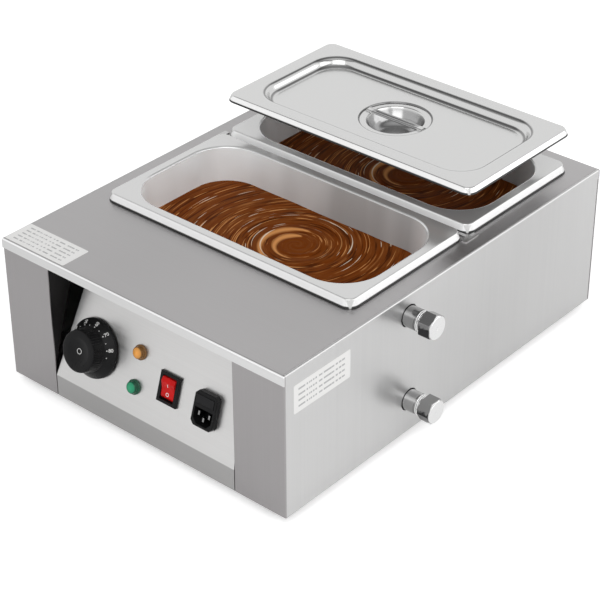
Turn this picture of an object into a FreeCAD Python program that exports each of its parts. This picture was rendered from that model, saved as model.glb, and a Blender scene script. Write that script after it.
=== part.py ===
import FreeCAD, Part
import math
import os
import Sketcher

# Twin-pan chocolate melter: a folded steel housing with a water bath, two lift-out
# gastronorm 1/3 pans, a lid, a sloping control panel and two capped ports on the right.
# Millimetres. The housing is drawn about the middle of its footprint, with the floor at
# zero height, and one shift moves it so that the origin is the centre of the whole
# footprint, caps and knob included.

Vector = FreeCAD.Vector


class Size:
    """A number together with the spreadsheet formula that gives it."""

    def __init__(self, number, formula):
        self.number = number
        self.formula = formula

    def __add__(self, other):
        other = as_size(other)
        return Size(self.number + other.number, f"({self.formula} + {other.formula})")

    def __radd__(self, other):
        return as_size(other) + self

    def __sub__(self, other):
        other = as_size(other)
        return Size(self.number - other.number, f"({self.formula} - {other.formula})")

    def __rsub__(self, other):
        return as_size(other) - self

    def __mul__(self, other):
        other = as_size(other)
        return Size(self.number * other.number, f"({self.formula} * {other.formula})")

    def __rmul__(self, other):
        return as_size(other) * self

    def __truediv__(self, other):
        other = as_size(other)
        return Size(self.number / other.number, f"({self.formula} / {other.formula})")

    def __neg__(self):
        return Size(-self.number, f"(0 - {self.formula})")


def as_size(value):
    return value if isinstance(value, Size) else Size(value, repr(value))


def sine(angle):
    return Size(math.sin(math.radians(angle.number)), f"sin({angle.formula})")


def cosine(angle):
    return Size(math.cos(math.radians(angle.number)), f"cos({angle.formula})")


def tangent(angle):
    return Size(math.tan(math.radians(angle.number)), f"tan({angle.formula})")


document = FreeCAD.newDocument("ChocolateMelter")
sheet = document.addObject("Spreadsheet::Sheet", "Sizes")


class Sizes:
    """Driving sizes, each one a named cell of the spreadsheet."""


size = Sizes()


def driving(rows):
    for name, number, meaning in rows:
        row = len(vars(size)) + 1
        sheet.set(f"A{row}", meaning)
        sheet.set(f"B{row}", str(number))
        sheet.setAlias(f"B{row}", name)
        setattr(size, name, Size(number, f"Sizes.{name}"))


# Housing
BODY_WIDTH = 370.0
BODY_DEPTH = 500.0
BODY_HEIGHT = 160.0
SHEET = 1.0
FOLD_RADIUS = 2.0
EDGE_RADIUS = 1.6
LIP_DROP = 11.0
CHEEK_WIDTH = 63.5
FLANGE = 14.0
SEAM = 0.2
BASE_WALL = 14.0
FOOT_HEIGHT = 10.0
FOOT_RADIUS = 14.0
FOOT_INSET = 24.0
driving([
    ("body_width", BODY_WIDTH, "housing width, left to right"),
    ("body_depth", BODY_DEPTH, "housing depth, front to back"),
    ("body_height", BODY_HEIGHT, "housing height without its feet"),
    ("sheet", SHEET, "thickness of the housing sheet"),
    ("fold_radius", FOLD_RADIUS, "outer radius of the folds round the deck"),
    ("edge_radius", EDGE_RADIUS, "outer radius of the upright folds"),
    ("lip_drop", LIP_DROP, "height of the folded front and rear lips"),
    ("cheek_width", CHEEK_WIDTH, "width of each front cheek"),
    ("flange", FLANGE, "width of the hidden return flanges"),
    ("seam", SEAM, "gap where two sheets meet"),
    ("base_wall", BASE_WALL, "height of the base plate's turned-up edges"),
    ("foot_height", FOOT_HEIGHT, "housing above the floor"),
    ("foot_radius", FOOT_RADIUS, "radius of a rubber foot at the floor"),
    ("foot_inset", FOOT_INSET, "foot centre in from the housing's sides"),
])

# Control panel, measured from its fold line up the slope
PANEL_SLOPE = 18.0
BAND_HEIGHT = 24.5
PANEL_GAP = 1.0
PANEL_RAKE = 25.0
GUSSET_GAP = 2.6
KNOB_MARGIN = 46.0
KNOB_RISE = 47.0
LAMP_RATIO = -0.144033
ORANGE_RISE = 65.3
GREEN_RISE = 28.8
SWITCH_MARGIN = 95.2
SWITCH_RISE = 44.5
INLET_MARGIN = 45.0
INLET_RISE = 43.5
driving([
    ("panel_slope", PANEL_SLOPE, "lean of the control panel in degrees"),
    ("band_height", BAND_HEIGHT, "upright band below the control panel"),
    ("panel_gap", PANEL_GAP, "gap between the panel and each cheek"),
    ("panel_rake", PANEL_RAKE, "how far each side of the panel draws in at the top"),
    ("gusset_gap", GUSSET_GAP, "gap between a cheek gusset and the panel"),
    ("knob_margin", KNOB_MARGIN, "knob axis in from the left cheek"),
    ("knob_rise", KNOB_RISE, "knob axis up the panel"),
    ("lamp_ratio", LAMP_RATIO, "lamp axes across, in parts of half the recess"),
    ("orange_rise", ORANGE_RISE, "orange lamp up the panel"),
    ("green_rise", GREEN_RISE, "green lamp up the panel"),
    ("switch_margin", SWITCH_MARGIN, "switch centre in from the right cheek"),
    ("switch_rise", SWITCH_RISE, "switch centre up the panel"),
    ("inlet_margin", INLET_MARGIN, "power inlet centre in from the right cheek"),
    ("inlet_rise", INLET_RISE, "power inlet centre up the panel"),
])

# Pans, chocolate and lid
PAN_LENGTH = 325.0
PAN_WIDTH = 176.0
PAN_DEPTH = 100.0
PAN_SHEET = 0.8
PAN_RIM = 12.5
PAN_SKIRT = 9.0
RIM_CORNER = 12.0
RIM_FOLD = 2.0
WELL_CORNER = 46.0
WELL_TAPER = 12.0
WELL_FLOOR_FOLD = 14.0
PAN_SPACING = 5.0
PAN_REAR_MARGIN = 23.6
CHOCOLATE_DROP = 38.0
LIQUID_GAP = 0.1
LID_SKIRT = 7.0
LID_RIM = 18.0
RECESS_CORNER = 34.0
RECESS_RUN = 11.0
RECESS_DROP = 9.0
CUP_RING = 38.5
RING_DROP = 1.6
CUP_RADIUS = 31.0
CUP_DEPTH = 17.0
CUP_FOLD = 13.0
HANDLE_WIDTH = 9.0
HANDLE_REACH = 36.5
HANDLE_GROOVE = 2.4
LID_LIFT = 34.0
driving([
    ("pan_length", PAN_LENGTH, "gastronorm 1/3 length"),
    ("pan_width", PAN_WIDTH, "gastronorm 1/3 width"),
    ("pan_depth", PAN_DEPTH, "pan depth below its rim"),
    ("pan_sheet", PAN_SHEET, "thickness of the pans and the lid"),
    ("pan_rim", PAN_RIM, "width of the pan's flat rim"),
    ("pan_skirt", PAN_SKIRT, "height of the pan's turned-down skirt"),
    ("rim_corner", RIM_CORNER, "corner radius of rims and skirts"),
    ("rim_fold", RIM_FOLD, "outer radius of the fold from rim to skirt"),
    ("well_corner", WELL_CORNER, "corner radius of the well at the rim"),
    ("well_taper", WELL_TAPER, "how far each side of the well draws in"),
    ("well_floor_fold", WELL_FLOOR_FOLD, "radius between the well's wall and floor"),
    ("pan_spacing", PAN_SPACING, "gap between the two pans"),
    ("pan_rear_margin", PAN_REAR_MARGIN, "rear pan's rim before the housing's rear"),
    ("chocolate_drop", CHOCOLATE_DROP, "chocolate level below the rim"),
    ("liquid_gap", LIQUID_GAP, "drawn gap between chocolate and pan"),
    ("lid_skirt", LID_SKIRT, "height of the lid's skirt"),
    ("lid_rim", LID_RIM, "width of the lid's flat rim"),
    ("recess_corner", RECESS_CORNER, "corner radius of the lid's recess"),
    ("recess_run", RECESS_RUN, "width of the recess's sloping side"),
    ("recess_drop", RECESS_DROP, "depth of the lid's recess"),
    ("cup_ring", CUP_RING, "outer radius of the ring round the finger cup"),
    ("ring_drop", RING_DROP, "step down from the lid's plateau to the ring"),
    ("cup_radius", CUP_RADIUS, "radius of the finger cup's mouth"),
    ("cup_depth", CUP_DEPTH, "depth of the finger cup below its ring"),
    ("cup_fold", CUP_FOLD, "radius between the cup's wall and floor"),
    ("handle_width", HANDLE_WIDTH, "width of the strap handle"),
    ("handle_reach", HANDLE_REACH, "half length of the strap handle"),
    ("handle_groove", HANDLE_GROOVE, "width of the groove along the strap"),
    ("lid_lift", LID_LIFT, "height at which the lid is shown above its seat"),
])

# Water bath
BATH_MARGIN = 2.0
BATH_CORNER = 25.0
BATH_SHEET = 1.0
BATH_DEPTH = 140.0
BATH_FOLD = 4.0
BAR_WIDTH = 20.0
BAR_SHEET = 1.2
BAR_WEB = 8.0
BAR_OVERHANG = 7.0
HEATER_RADIUS = 4.0
HEATER_HALF = 70.0
HEATER_BEND = 30.0
HEATER_CLEAR = 15.0
GLAND_RADIUS = 7.0
GLAND_NUT = 10.0
BULB_RADIUS = 3.2
BULB_ACROSS = -100.0
BULB_LENGTH = 75.0
CAPILLARY_RADIUS = 1.0
driving([
    ("bath_margin", BATH_MARGIN, "gap between a pan's well and the deck opening"),
    ("bath_corner", BATH_CORNER, "corner radius of the bath and the deck opening"),
    ("bath_sheet", BATH_SHEET, "thickness of the bath"),
    ("bath_depth", BATH_DEPTH, "bath depth below the deck sheet"),
    ("bath_fold", BATH_FOLD, "outer radius between bath wall and floor"),
    ("bar_width", BAR_WIDTH, "width of the bar between the pans"),
    ("bar_sheet", BAR_SHEET, "thickness of the bar"),
    ("bar_web", BAR_WEB, "height of the bar's turned-down sides"),
    ("bar_overhang", BAR_OVERHANG, "bar end beyond the pans' rims"),
    ("heater_radius", HEATER_RADIUS, "radius of the heating tube"),
    ("heater_half", HEATER_HALF, "half distance between the heating tube's legs"),
    ("heater_bend", HEATER_BEND, "bend radius of the heating tube"),
    ("heater_clear", HEATER_CLEAR, "heating tube's axis above the bath floor"),
    ("gland_radius", GLAND_RADIUS, "radius of the threaded glands in the bath wall"),
    ("gland_nut", GLAND_NUT, "half width across flats of the gland nuts"),
    ("bulb_radius", BULB_RADIUS, "radius of the thermostat's bulb"),
    ("bulb_across", BULB_ACROSS, "thermostat bulb across the bath"),
    ("bulb_length", BULB_LENGTH, "length of the thermostat's bulb"),
    ("capillary_radius", CAPILLARY_RADIUS, "radius of the capillary tube"),
])

# Ports on the right side
OVERFLOW_SETBACK = 49.1
OVERFLOW_DROP = 23.7
DRAIN_SETBACK = 53.1
DRAIN_HEIGHT = 37.4
SLEEVE_RADIUS = 11.0
SLEEVE_REACH = 13.0
THREAD_RADIUS = 10.45
THREAD_REACH = 28.5
PORT_BORE = 7.5
PORT_HOLE = 12.0
CAP_FLATS = 12.0
CAP_START = 20.0
CAP_END = 33.0
CAP_DISC = 1.0
WASHER_HEIGHT = 2.0
LOCKNUT_HEIGHT = 6.0
PORT_SEAL = 2.0
RUNNING_GAP = 0.08
SNUG_GAP = 0.05
driving([
    ("overflow_setback", OVERFLOW_SETBACK, "upper port behind the bath's front wall"),
    ("overflow_drop", OVERFLOW_DROP, "upper port below the deck"),
    ("drain_setback", DRAIN_SETBACK, "lower port behind the bath's front wall"),
    ("drain_height", DRAIN_HEIGHT, "lower port above the housing's bottom"),
    ("sleeve_radius", SLEEVE_RADIUS, "radius of a port's plain sleeve"),
    ("sleeve_reach", SLEEVE_REACH, "plain sleeve beyond the side"),
    ("thread_radius", THREAD_RADIUS, "radius of a port's half-inch thread"),
    ("thread_reach", THREAD_REACH, "thread end beyond the side"),
    ("port_bore", PORT_BORE, "radius of a port's bore"),
    ("port_hole", PORT_HOLE, "radius of the hole in the side"),
    ("cap_flats", CAP_FLATS, "half width across flats of a port cap"),
    ("cap_start", CAP_START, "cap's open end beyond the side"),
    ("cap_end", CAP_END, "end of the cap's hexagon beyond the side"),
    ("cap_disc", CAP_DISC, "height of the turned disc on the cap's end"),
    ("washer_height", WASHER_HEIGHT, "thickness of the washer in a cap"),
    ("locknut_height", LOCKNUT_HEIGHT, "height of a port's lock nut"),
    ("port_seal", PORT_SEAL, "thickness of the seal under a lock nut"),
    ("running_gap", RUNNING_GAP, "radial clearance of turning fits"),
    ("snug_gap", SNUG_GAP, "radial clearance of pieces that stay put"),
])

# Knob and thermostat
SKIRT_RADIUS = 30.6
SKIRT_START = 1.2
SKIRT_EDGE = 2.3
CONE_HEIGHT = 7.6
GRIP_BASE = 22.8
GRIP_FACE = 21.3
KNOB_HEIGHT = 25.0
DISH_RADIUS = 13.0
DISH_DEPTH = 2.0
BORE_DEPTH = 16.0
SHAFT_RADIUS = 3.0
SHAFT_FLAT = 0.8
BUSH_RADIUS = 5.0
BUSH_HEIGHT = 5.5
BUSH_NUT = 7.0
THERMOSTAT_WIDTH = 36.0
THERMOSTAT_RISE = 44.0
THERMOSTAT_DEPTH = 30.0
driving([
    ("skirt_radius", SKIRT_RADIUS, "outer radius of the knob's conical dial"),
    ("skirt_start", SKIRT_START, "back of the dial before the panel"),
    ("skirt_edge", SKIRT_EDGE, "height of the dial's outer edge"),
    ("cone_height", CONE_HEIGHT, "height of the dial's cone"),
    ("grip_base", GRIP_BASE, "radius of the grip at the dial"),
    ("grip_face", GRIP_FACE, "radius of the grip at its face"),
    ("knob_height", KNOB_HEIGHT, "knob face before the panel"),
    ("dish_radius", DISH_RADIUS, "radius of the dish in the knob's face"),
    ("dish_depth", DISH_DEPTH, "depth of that dish"),
    ("bore_depth", BORE_DEPTH, "depth of the knob's bore for the shaft"),
    ("shaft_radius", SHAFT_RADIUS, "radius of the thermostat's shaft"),
    ("shaft_flat", SHAFT_FLAT, "depth of the flat on the shaft"),
    ("bush_radius", BUSH_RADIUS, "radius of the thermostat's threaded bush"),
    ("bush_height", BUSH_HEIGHT, "bush before the panel"),
    ("bush_nut", BUSH_NUT, "half width across flats of the bush nut"),
    ("thermostat_width", THERMOSTAT_WIDTH, "thermostat body across"),
    ("thermostat_rise", THERMOSTAT_RISE, "thermostat body up the slope"),
    ("thermostat_depth", THERMOSTAT_DEPTH, "thermostat body behind the panel"),
])

# Lamps, switch and power inlet
LAMP_FLANGE = 7.8
LAMP_FLANGE_HEIGHT = 2.0
LAMP_LENS = 6.4
LAMP_HEIGHT = 6.5
LAMP_BARREL = 5.9
LAMP_DEPTH = 24.0
BEZEL_WIDTH = 25.5
BEZEL_RISE = 31.5
BEZEL_HEIGHT = 3.0
SWITCH_BODY_WIDTH = 22.0
SWITCH_BODY_RISE = 28.0
SWITCH_DEPTH = 24.0
ROCKER_WIDTH = 17.0
ROCKER_RADIUS = 12.3
ROCKER_GAP = 0.35
ROCKER_PIVOT = -1.4
ROCKER_TILT = 12.0
TRUNNION_RADIUS = 1.6
TRUNNION_REACH = 1.6
INLET_WIDTH = 28.0
INLET_HEIGHT = 36.0
INLET_PROUD = 6.5
INLET_CHAMFER = 4.0
INLET_BODY_WIDTH = 25.0
INLET_BODY_HEIGHT = 32.0
INLET_DEPTH = 24.0
SOCKET_WIDTH = 22.6
SOCKET_RISE = 16.6
SOCKET_DEPTH = 17.0
SOCKET_CHAMFER = 5.0
SOCKET_LOW = 15.5
PIN_SPREAD = 6.5
PIN_STEP = 5.0
PIN_LENGTH = 15.0
DRAWER_WIDTH = 22.0
DRAWER_RISE = 9.0
DRAWER_MID = 9.6
DRAWER_GAP = 0.3
DRAWER_DEPTH = 25.0
DRAWER_WALL = 1.2
FUSE_RADIUS = 2.6
FUSE_LENGTH = 20.0
CUTOUT_GAP = 0.3
driving([
    ("lamp_flange", LAMP_FLANGE, "radius of a lamp's flange"),
    ("lamp_flange_height", LAMP_FLANGE_HEIGHT, "thickness of a lamp's flange"),
    ("lamp_lens", LAMP_LENS, "radius of a lamp's lens"),
    ("lamp_height", LAMP_HEIGHT, "lens before the panel"),
    ("lamp_barrel", LAMP_BARREL, "radius of a lamp's barrel"),
    ("lamp_depth", LAMP_DEPTH, "lamp barrel behind the panel"),
    ("bezel_width", BEZEL_WIDTH, "switch bezel across"),
    ("bezel_rise", BEZEL_RISE, "switch bezel up the slope"),
    ("bezel_height", BEZEL_HEIGHT, "switch bezel before the panel"),
    ("switch_body_width", SWITCH_BODY_WIDTH, "switch body across"),
    ("switch_body_rise", SWITCH_BODY_RISE, "switch body up the slope"),
    ("switch_depth", SWITCH_DEPTH, "switch body behind the panel"),
    ("rocker_width", ROCKER_WIDTH, "rocker across"),
    ("rocker_radius", ROCKER_RADIUS, "radius of the rocker's ends about its pivot"),
    ("rocker_gap", ROCKER_GAP, "gap between rocker and frame"),
    ("rocker_pivot", ROCKER_PIVOT, "rocker pivot before the panel"),
    ("rocker_tilt", ROCKER_TILT, "rocker's lean from level in degrees"),
    ("trunnion_radius", TRUNNION_RADIUS, "radius of the rocker's trunnions"),
    ("trunnion_reach", TRUNNION_REACH, "length of each trunnion"),
    ("inlet_width", INLET_WIDTH, "inlet frame across"),
    ("inlet_height", INLET_HEIGHT, "inlet frame up the slope"),
    ("inlet_proud", INLET_PROUD, "inlet frame before the panel"),
    ("inlet_chamfer", INLET_CHAMFER, "chamfer of the inlet frame's corners"),
    ("inlet_body_width", INLET_BODY_WIDTH, "inlet body across"),
    ("inlet_body_height", INLET_BODY_HEIGHT, "inlet body up the slope"),
    ("inlet_depth", INLET_DEPTH, "inlet body behind the panel"),
    ("socket_width", SOCKET_WIDTH, "socket across"),
    ("socket_rise", SOCKET_RISE, "socket up the slope"),
    ("socket_depth", SOCKET_DEPTH, "depth of the socket"),
    ("socket_chamfer", SOCKET_CHAMFER, "chamfer of the socket's lower corners"),
    ("socket_low", SOCKET_LOW, "socket's lower edge below the inlet's middle"),
    ("pin_spread", PIN_SPREAD, "line pins either side of the middle"),
    ("pin_step", PIN_STEP, "earth pin below the line pins"),
    ("pin_length", PIN_LENGTH, "pins above the socket floor"),
    ("drawer_width", DRAWER_WIDTH, "fuse drawer across"),
    ("drawer_rise", DRAWER_RISE, "fuse drawer up the slope"),
    ("drawer_mid", DRAWER_MID, "fuse drawer's middle above the inlet's middle"),
    ("drawer_gap", DRAWER_GAP, "gap round the fuse drawer"),
    ("drawer_depth", DRAWER_DEPTH, "fuse drawer's length"),
    ("drawer_wall", DRAWER_WALL, "wall of the fuse drawer"),
    ("fuse_radius", FUSE_RADIUS, "radius of the fuse's end caps"),
    ("fuse_length", FUSE_LENGTH, "length of the fuse"),
    ("cutout_gap", CUTOUT_GAP, "gap round a fitting in the panel"),
])

# Fasteners and wiring pieces
FOOT_SCREW = 2.5
FOOT_HEAD = 4.5
FOOT_HEAD_HEIGHT = 3.0
FOOT_RECESS = 4.5
FOOT_NUT = 4.0
FOOT_NUT_HEIGHT = 4.0
REAR_SCREW = 1.5
REAR_HEAD = 3.2
REAR_HEAD_HEIGHT = 1.6
REAR_SCREW_LENGTH = 8.0
SLOT_LENGTH = 42.0
SLOT_WIDTH = 4.0
SLOT_PITCH = 12.0
SLOT_COUNT = 7
BLOCK_WIDTH = 44.0
BLOCK_DEPTH = 20.0
BLOCK_HEIGHT = 17.0
BLOCK_PITCH = 10.0
driving([
    ("foot_screw", FOOT_SCREW, "radius of the M5 foot screws"),
    ("foot_head", FOOT_HEAD, "radius of the foot screws' heads"),
    ("foot_head_height", FOOT_HEAD_HEIGHT, "height of the foot screws' heads"),
    ("foot_recess", FOOT_RECESS, "depth of the recess in a foot"),
    ("foot_nut", FOOT_NUT, "half width across flats of the foot nuts"),
    ("foot_nut_height", FOOT_NUT_HEIGHT, "height of the foot nuts"),
    ("rear_screw", REAR_SCREW, "radius of the rear screws"),
    ("rear_head", REAR_HEAD, "radius of the rear screws' heads"),
    ("rear_head_height", REAR_HEAD_HEIGHT, "height of the rear screws' heads"),
    ("rear_screw_length", REAR_SCREW_LENGTH, "length of the rear screws"),
    ("slot_length", SLOT_LENGTH, "length of a vent slot"),
    ("slot_width", SLOT_WIDTH, "width of a vent slot"),
    ("slot_pitch", SLOT_PITCH, "pitch of the vent slots"),
    ("slot_count", SLOT_COUNT, "vent slots in a row"),
    ("block_width", BLOCK_WIDTH, "terminal block across"),
    ("block_depth", BLOCK_DEPTH, "terminal block front to back"),
    ("block_height", BLOCK_HEIGHT, "terminal block height"),
    ("block_pitch", BLOCK_PITCH, "pitch of the block's screws"),
])

# Levels and lines that several pieces share
half_width = size.body_width / 2
half_depth = size.body_depth / 2
bottom = size.foot_height
deck_top = bottom + size.body_height
deck_under = deck_top - size.sheet
front_face = size.sheet - half_depth
rear_face = half_depth - size.sheet
cheek_back = front_face + size.sheet
recess_half = half_width - size.cheek_width
base_top = bottom + 2 * size.sheet
fold_height = bottom + size.band_height
slope_height = deck_under - fold_height
pan_group = half_depth - size.pan_rear_margin - size.pan_width - size.pan_spacing / 2
pan_step = (size.pan_width + size.pan_spacing) / 2
rim_top = deck_top + size.pan_skirt
opening_half_x = size.pan_length / 2 - size.pan_rim + size.bath_margin
opening_half_y = size.pan_width + size.pan_spacing / 2 - size.pan_rim + size.bath_margin
bath_bottom = deck_under - size.bath_depth
bath_floor = bath_bottom + size.bath_sheet
bath_front = pan_group - opening_half_y
heater_height = bath_floor + size.heater_clear
overflow_line = (bath_front + size.overflow_setback, deck_top - size.overflow_drop)
drain_line = (bath_front + size.drain_setback, bottom + size.drain_height)
knob_across = size.knob_margin - recess_half
lamp_across = size.lamp_ratio * recess_half
switch_across = recess_half - size.switch_margin
inlet_across = recess_half - size.inlet_margin
knob_reach = (size.knob_height * cosine(size.panel_slope) - size.knob_rise * sine(size.panel_slope)
              + size.grip_face * sine(size.panel_slope) - size.sheet)
port_reach = size.cap_end + size.cap_disc
rear_reach = size.rear_head_height - size.sheet
shift_x = -port_reach / 2
shift_y = (knob_reach - rear_reach) / 2

pieces = []
made_features = []


def bind(item, name, value):
    item.setExpression(name, as_size(value).formula)


def new_piece(label):
    body = document.addObject("PartDesign::Body", label)
    body.Label = label
    pieces.append(body)
    return body


def place(item, x=0, y=0, z=0):
    """Puts a piece at a point of the housing."""
    bind(item, "Placement.Base.x", shift_x + x)
    bind(item, "Placement.Base.y", shift_y + y)
    bind(item, "Placement.Base.z", z)


def place_on_panel(item, across=0, rise=0):
    """Puts a piece on the sloping panel, its own Z along the panel's outward normal."""
    place(item, across, front_face + rise * sine(size.panel_slope),
          fold_height + rise * cosine(size.panel_slope))
    item.Placement.Rotation = FreeCAD.Rotation(Vector(1, 0, 0), 90 - size.panel_slope.number)
    bind(item, "Placement.Rotation.Angle", 90 - size.panel_slope)


def sketch_on(body, role, offset=0):
    plane = next(item for item in body.Origin.OriginFeatures if item.Role == role)
    sketch = body.newObject("Sketcher::SketchObject", body.Label + "_sketch")
    sketch.AttachmentSupport = [(plane, "")]
    sketch.MapMode = "FlatFace"
    bind(sketch, "AttachmentOffset.Base.z", offset)
    return sketch


def fix_point(sketch, element, end, x, y):
    """Ties a point of the sketch to the origin by two formulas."""
    for kind, value in (("DistanceX", as_size(x)), ("DistanceY", as_size(y))):
        rule = sketch.addConstraint(Sketcher.Constraint(kind, -1, 1, element, end, value.number))
        bind(sketch, f"Constraints[{rule}]", value)


def polygon(sketch, corners):
    corners = [(as_size(x), as_size(y)) for x, y in corners]
    first = sketch.GeometryCount
    count = len(corners)
    for index, (x, y) in enumerate(corners):
        next_x, next_y = corners[(index + 1) % count]
        line = Part.LineSegment(Vector(x.number, y.number, 0), Vector(next_x.number, next_y.number, 0))
        sketch.addGeometry(line, False)
    for index, (x, y) in enumerate(corners):
        after = first + (index + 1) % count
        sketch.addConstraint(Sketcher.Constraint("Coincident", first + index, 2, after, 1))
        fix_point(sketch, first + index, 1, x, y)


def rectangle(sketch, left, right, low, high):
    polygon(sketch, [(left, low), (right, low), (right, high), (left, high)])


def centred_rectangle(sketch, width, rise, x=0, y=0):
    rectangle(sketch, x - width / 2, x + width / 2, y - rise / 2, y + rise / 2)


def circle(sketch, radius, x=0, y=0):
    x, y, radius = as_size(x), as_size(y), as_size(radius)
    ring = Part.Circle(Vector(x.number, y.number, 0), Vector(0, 0, 1), radius.number)
    element = sketch.addGeometry(ring, False)
    fix_point(sketch, element, 3, x, y)
    rule = sketch.addConstraint(Sketcher.Constraint("Radius", element, radius.number))
    bind(sketch, f"Constraints[{rule}]", radius)


def hexagon(sketch, half_flats, x=0, y=0, first=0):
    reach = half_flats / math.cos(math.radians(30))
    corners = []
    for turn in range(first, first + 360, 60):
        corners.append((x + reach * math.cos(math.radians(turn)), y + reach * math.sin(math.radians(turn))))
    polygon(sketch, corners)


def rounded_rectangle(sketch, length, width, radius, y=0):
    """A rectangle about (0, y) with tangent corner arcs, drawn anticlockwise."""
    first = sketch.GeometryCount
    inner_x = length / 2 - radius
    inner_y = width / 2 - radius
    y = as_size(y)
    low, high = y - inner_y, y + inner_y
    centres = [(inner_x, low), (inner_x, high), (-inner_x, high), (-inner_x, low)]
    for index, (x_mid, y_mid) in enumerate(centres):
        middle = Vector(x_mid.number, y_mid.number, 0)
        start = math.radians(90 * index - 90)
        ring = Part.Circle(middle, Vector(0, 0, 1), radius.number)
        sketch.addGeometry(Part.ArcOfCircle(ring, start, start + math.radians(90)), False)
    for index in range(4):
        begin = sketch.getPoint(first + index, 2)
        end = sketch.getPoint(first + (index + 1) % 4, 1)
        sketch.addGeometry(Part.LineSegment(begin, end), False)
    for index, (x_mid, y_mid) in enumerate(centres):
        arc = first + index
        line = first + 4 + index
        fix_point(sketch, arc, 3, x_mid, y_mid)
        rule = sketch.addConstraint(Sketcher.Constraint("Radius", arc, radius.number))
        bind(sketch, f"Constraints[{rule}]", radius)
        sketch.addConstraint(Sketcher.Constraint("Tangent", arc, 2, line, 1))
        sketch.addConstraint(Sketcher.Constraint("Tangent", line, 2, first + (index + 1) % 4, 1))


def feature(body, kind, **settings):
    made = body.newObject("PartDesign::" + kind, body.Label + "_" + kind.lower())
    for name, value in settings.items():
        if isinstance(value, Size):
            bind(made, name, value)
        else:
            setattr(made, name, value)
    made_features.append(made)
    return made


def pad(body, sketch, length, reverse=False, both=False):
    side = "Symmetric" if both else "One side"
    return feature(body, "Pad", Profile=sketch, Length=as_size(length), Reversed=reverse, SideType=side)


def pocket(body, sketch, depth, reverse=False, both=False):
    side = "Symmetric" if both else "One side"
    return feature(body, "Pocket", Profile=sketch, Length=as_size(depth), Reversed=reverse, SideType=side)


def turn_about(body, sketch, axis, cut=False):
    made = feature(body, "Groove" if cut else "Revolution", Profile=sketch, Angle=360.0)
    made.ReferenceAxis = (sketch, [axis])
    return made


def edges_where(base, test):
    """The names of the edges whose middle and direction pass the test."""
    document.recompute()
    names = []
    for index, edge in enumerate(base.Shape.Edges, 1):
        box = edge.BoundBox
        if test(box):
            names.append(f"Edge{index}")
    return names


def round_edges(body, base, radius, test):
    return feature(body, "Fillet", Base=(base, edges_where(base, test)), Radius=as_size(radius))


def near(value, target):
    target = as_size(target)
    return abs(value - target.number) < 0.01


def flat_at(level):
    """True for edges that lie all round at one height."""
    return lambda box: near(box.ZMin, level) and near(box.ZMax, level)


def upright_at(x, y):
    return lambda box: near(box.XMin, x) and near(box.XMax, x) and near(box.YMin, y) and near(box.YMax, y)


def loft(body, sections, cut=False):
    """A solid through rounded rectangles, each (height, length, width, radius)."""
    sketches = []
    for height, length, width, radius in sections:
        sketch = sketch_on(body, "XY_Plane", height)
        rounded_rectangle(sketch, length, width, radius)
        sketches.append(sketch)
    kind = "SubtractiveLoft" if cut else "AdditiveLoft"
    return feature(body, kind, Profile=sketches[0], Sections=sketches[1:], Ruled=True)


def bent_tube(label, points, bend, radius):
    """A round tube along straight runs joined by tangent arcs, in housing coordinates."""
    origin = Vector(shift_x.number, shift_y.number, 0)
    points = [Vector(*[as_size(value).number for value in point]) + origin for point in points]
    edges = []
    start = points[0]
    for before, corner, after in zip(points, points[1:], points[2:]):
        arrive = (corner - before).normalize()
        leave = (after - corner).normalize()
        half = arrive.getAngle(leave) / 2
        reach = bend.number * math.tan(half)
        begin = corner - arrive * reach
        end = corner + leave * reach
        towards = (leave - arrive).normalize()
        middle = corner + towards * (bend.number / math.cos(half) - bend.number)
        edges.append(Part.LineSegment(start, begin).toShape())
        edges.append(Part.Arc(begin, middle, end).toShape())
        start = end
    edges.append(Part.LineSegment(start, points[-1]).toShape())
    wire = Part.Wire(edges)
    ring = Part.Wire(Part.Circle(points[0], points[1] - points[0], radius.number).toShape())
    return wire.makePipeShell([ring], True, False), wire


def shape_piece(label, shape):
    item = document.addObject("Part::Feature", label)
    item.Label = label
    item.Shape = shape
    pieces.append(item)
    return item


# The housing


def make_top_deck():
    """Deck sheet with folded front and rear lips and one opening over the bath."""
    body = new_piece("top_deck")
    lip_bottom = deck_top - size.lip_drop
    block = sketch_on(body, "XY_Plane", lip_bottom)
    rectangle(block, -half_width, half_width, -half_depth, half_depth)
    last = pad(body, block, size.lip_drop)
    last = round_edges(body, last, size.fold_radius, flat_at(deck_top))
    hollow = sketch_on(body, "XY_Plane", lip_bottom)
    rectangle(hollow, -size.body_width, size.body_width, front_face, rear_face)
    pocket(body, hollow, size.lip_drop - size.sheet, reverse=True)
    sides = sketch_on(body, "XY_Plane", deck_top)
    strip = half_width - size.fold_radius - size.seam - size.sheet / 2
    for near_side, far_side in ((strip, size.body_width), (-size.body_width, -strip)):
        rectangle(sides, near_side, far_side, front_face, rear_face)
    pocket(body, sides, size.lip_drop)
    opening = sketch_on(body, "XY_Plane", deck_top)
    rounded_rectangle(opening, 2 * opening_half_x, 2 * opening_half_y, size.bath_corner, pan_group)
    pocket(body, opening, size.lip_drop)
    place(body)


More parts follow.
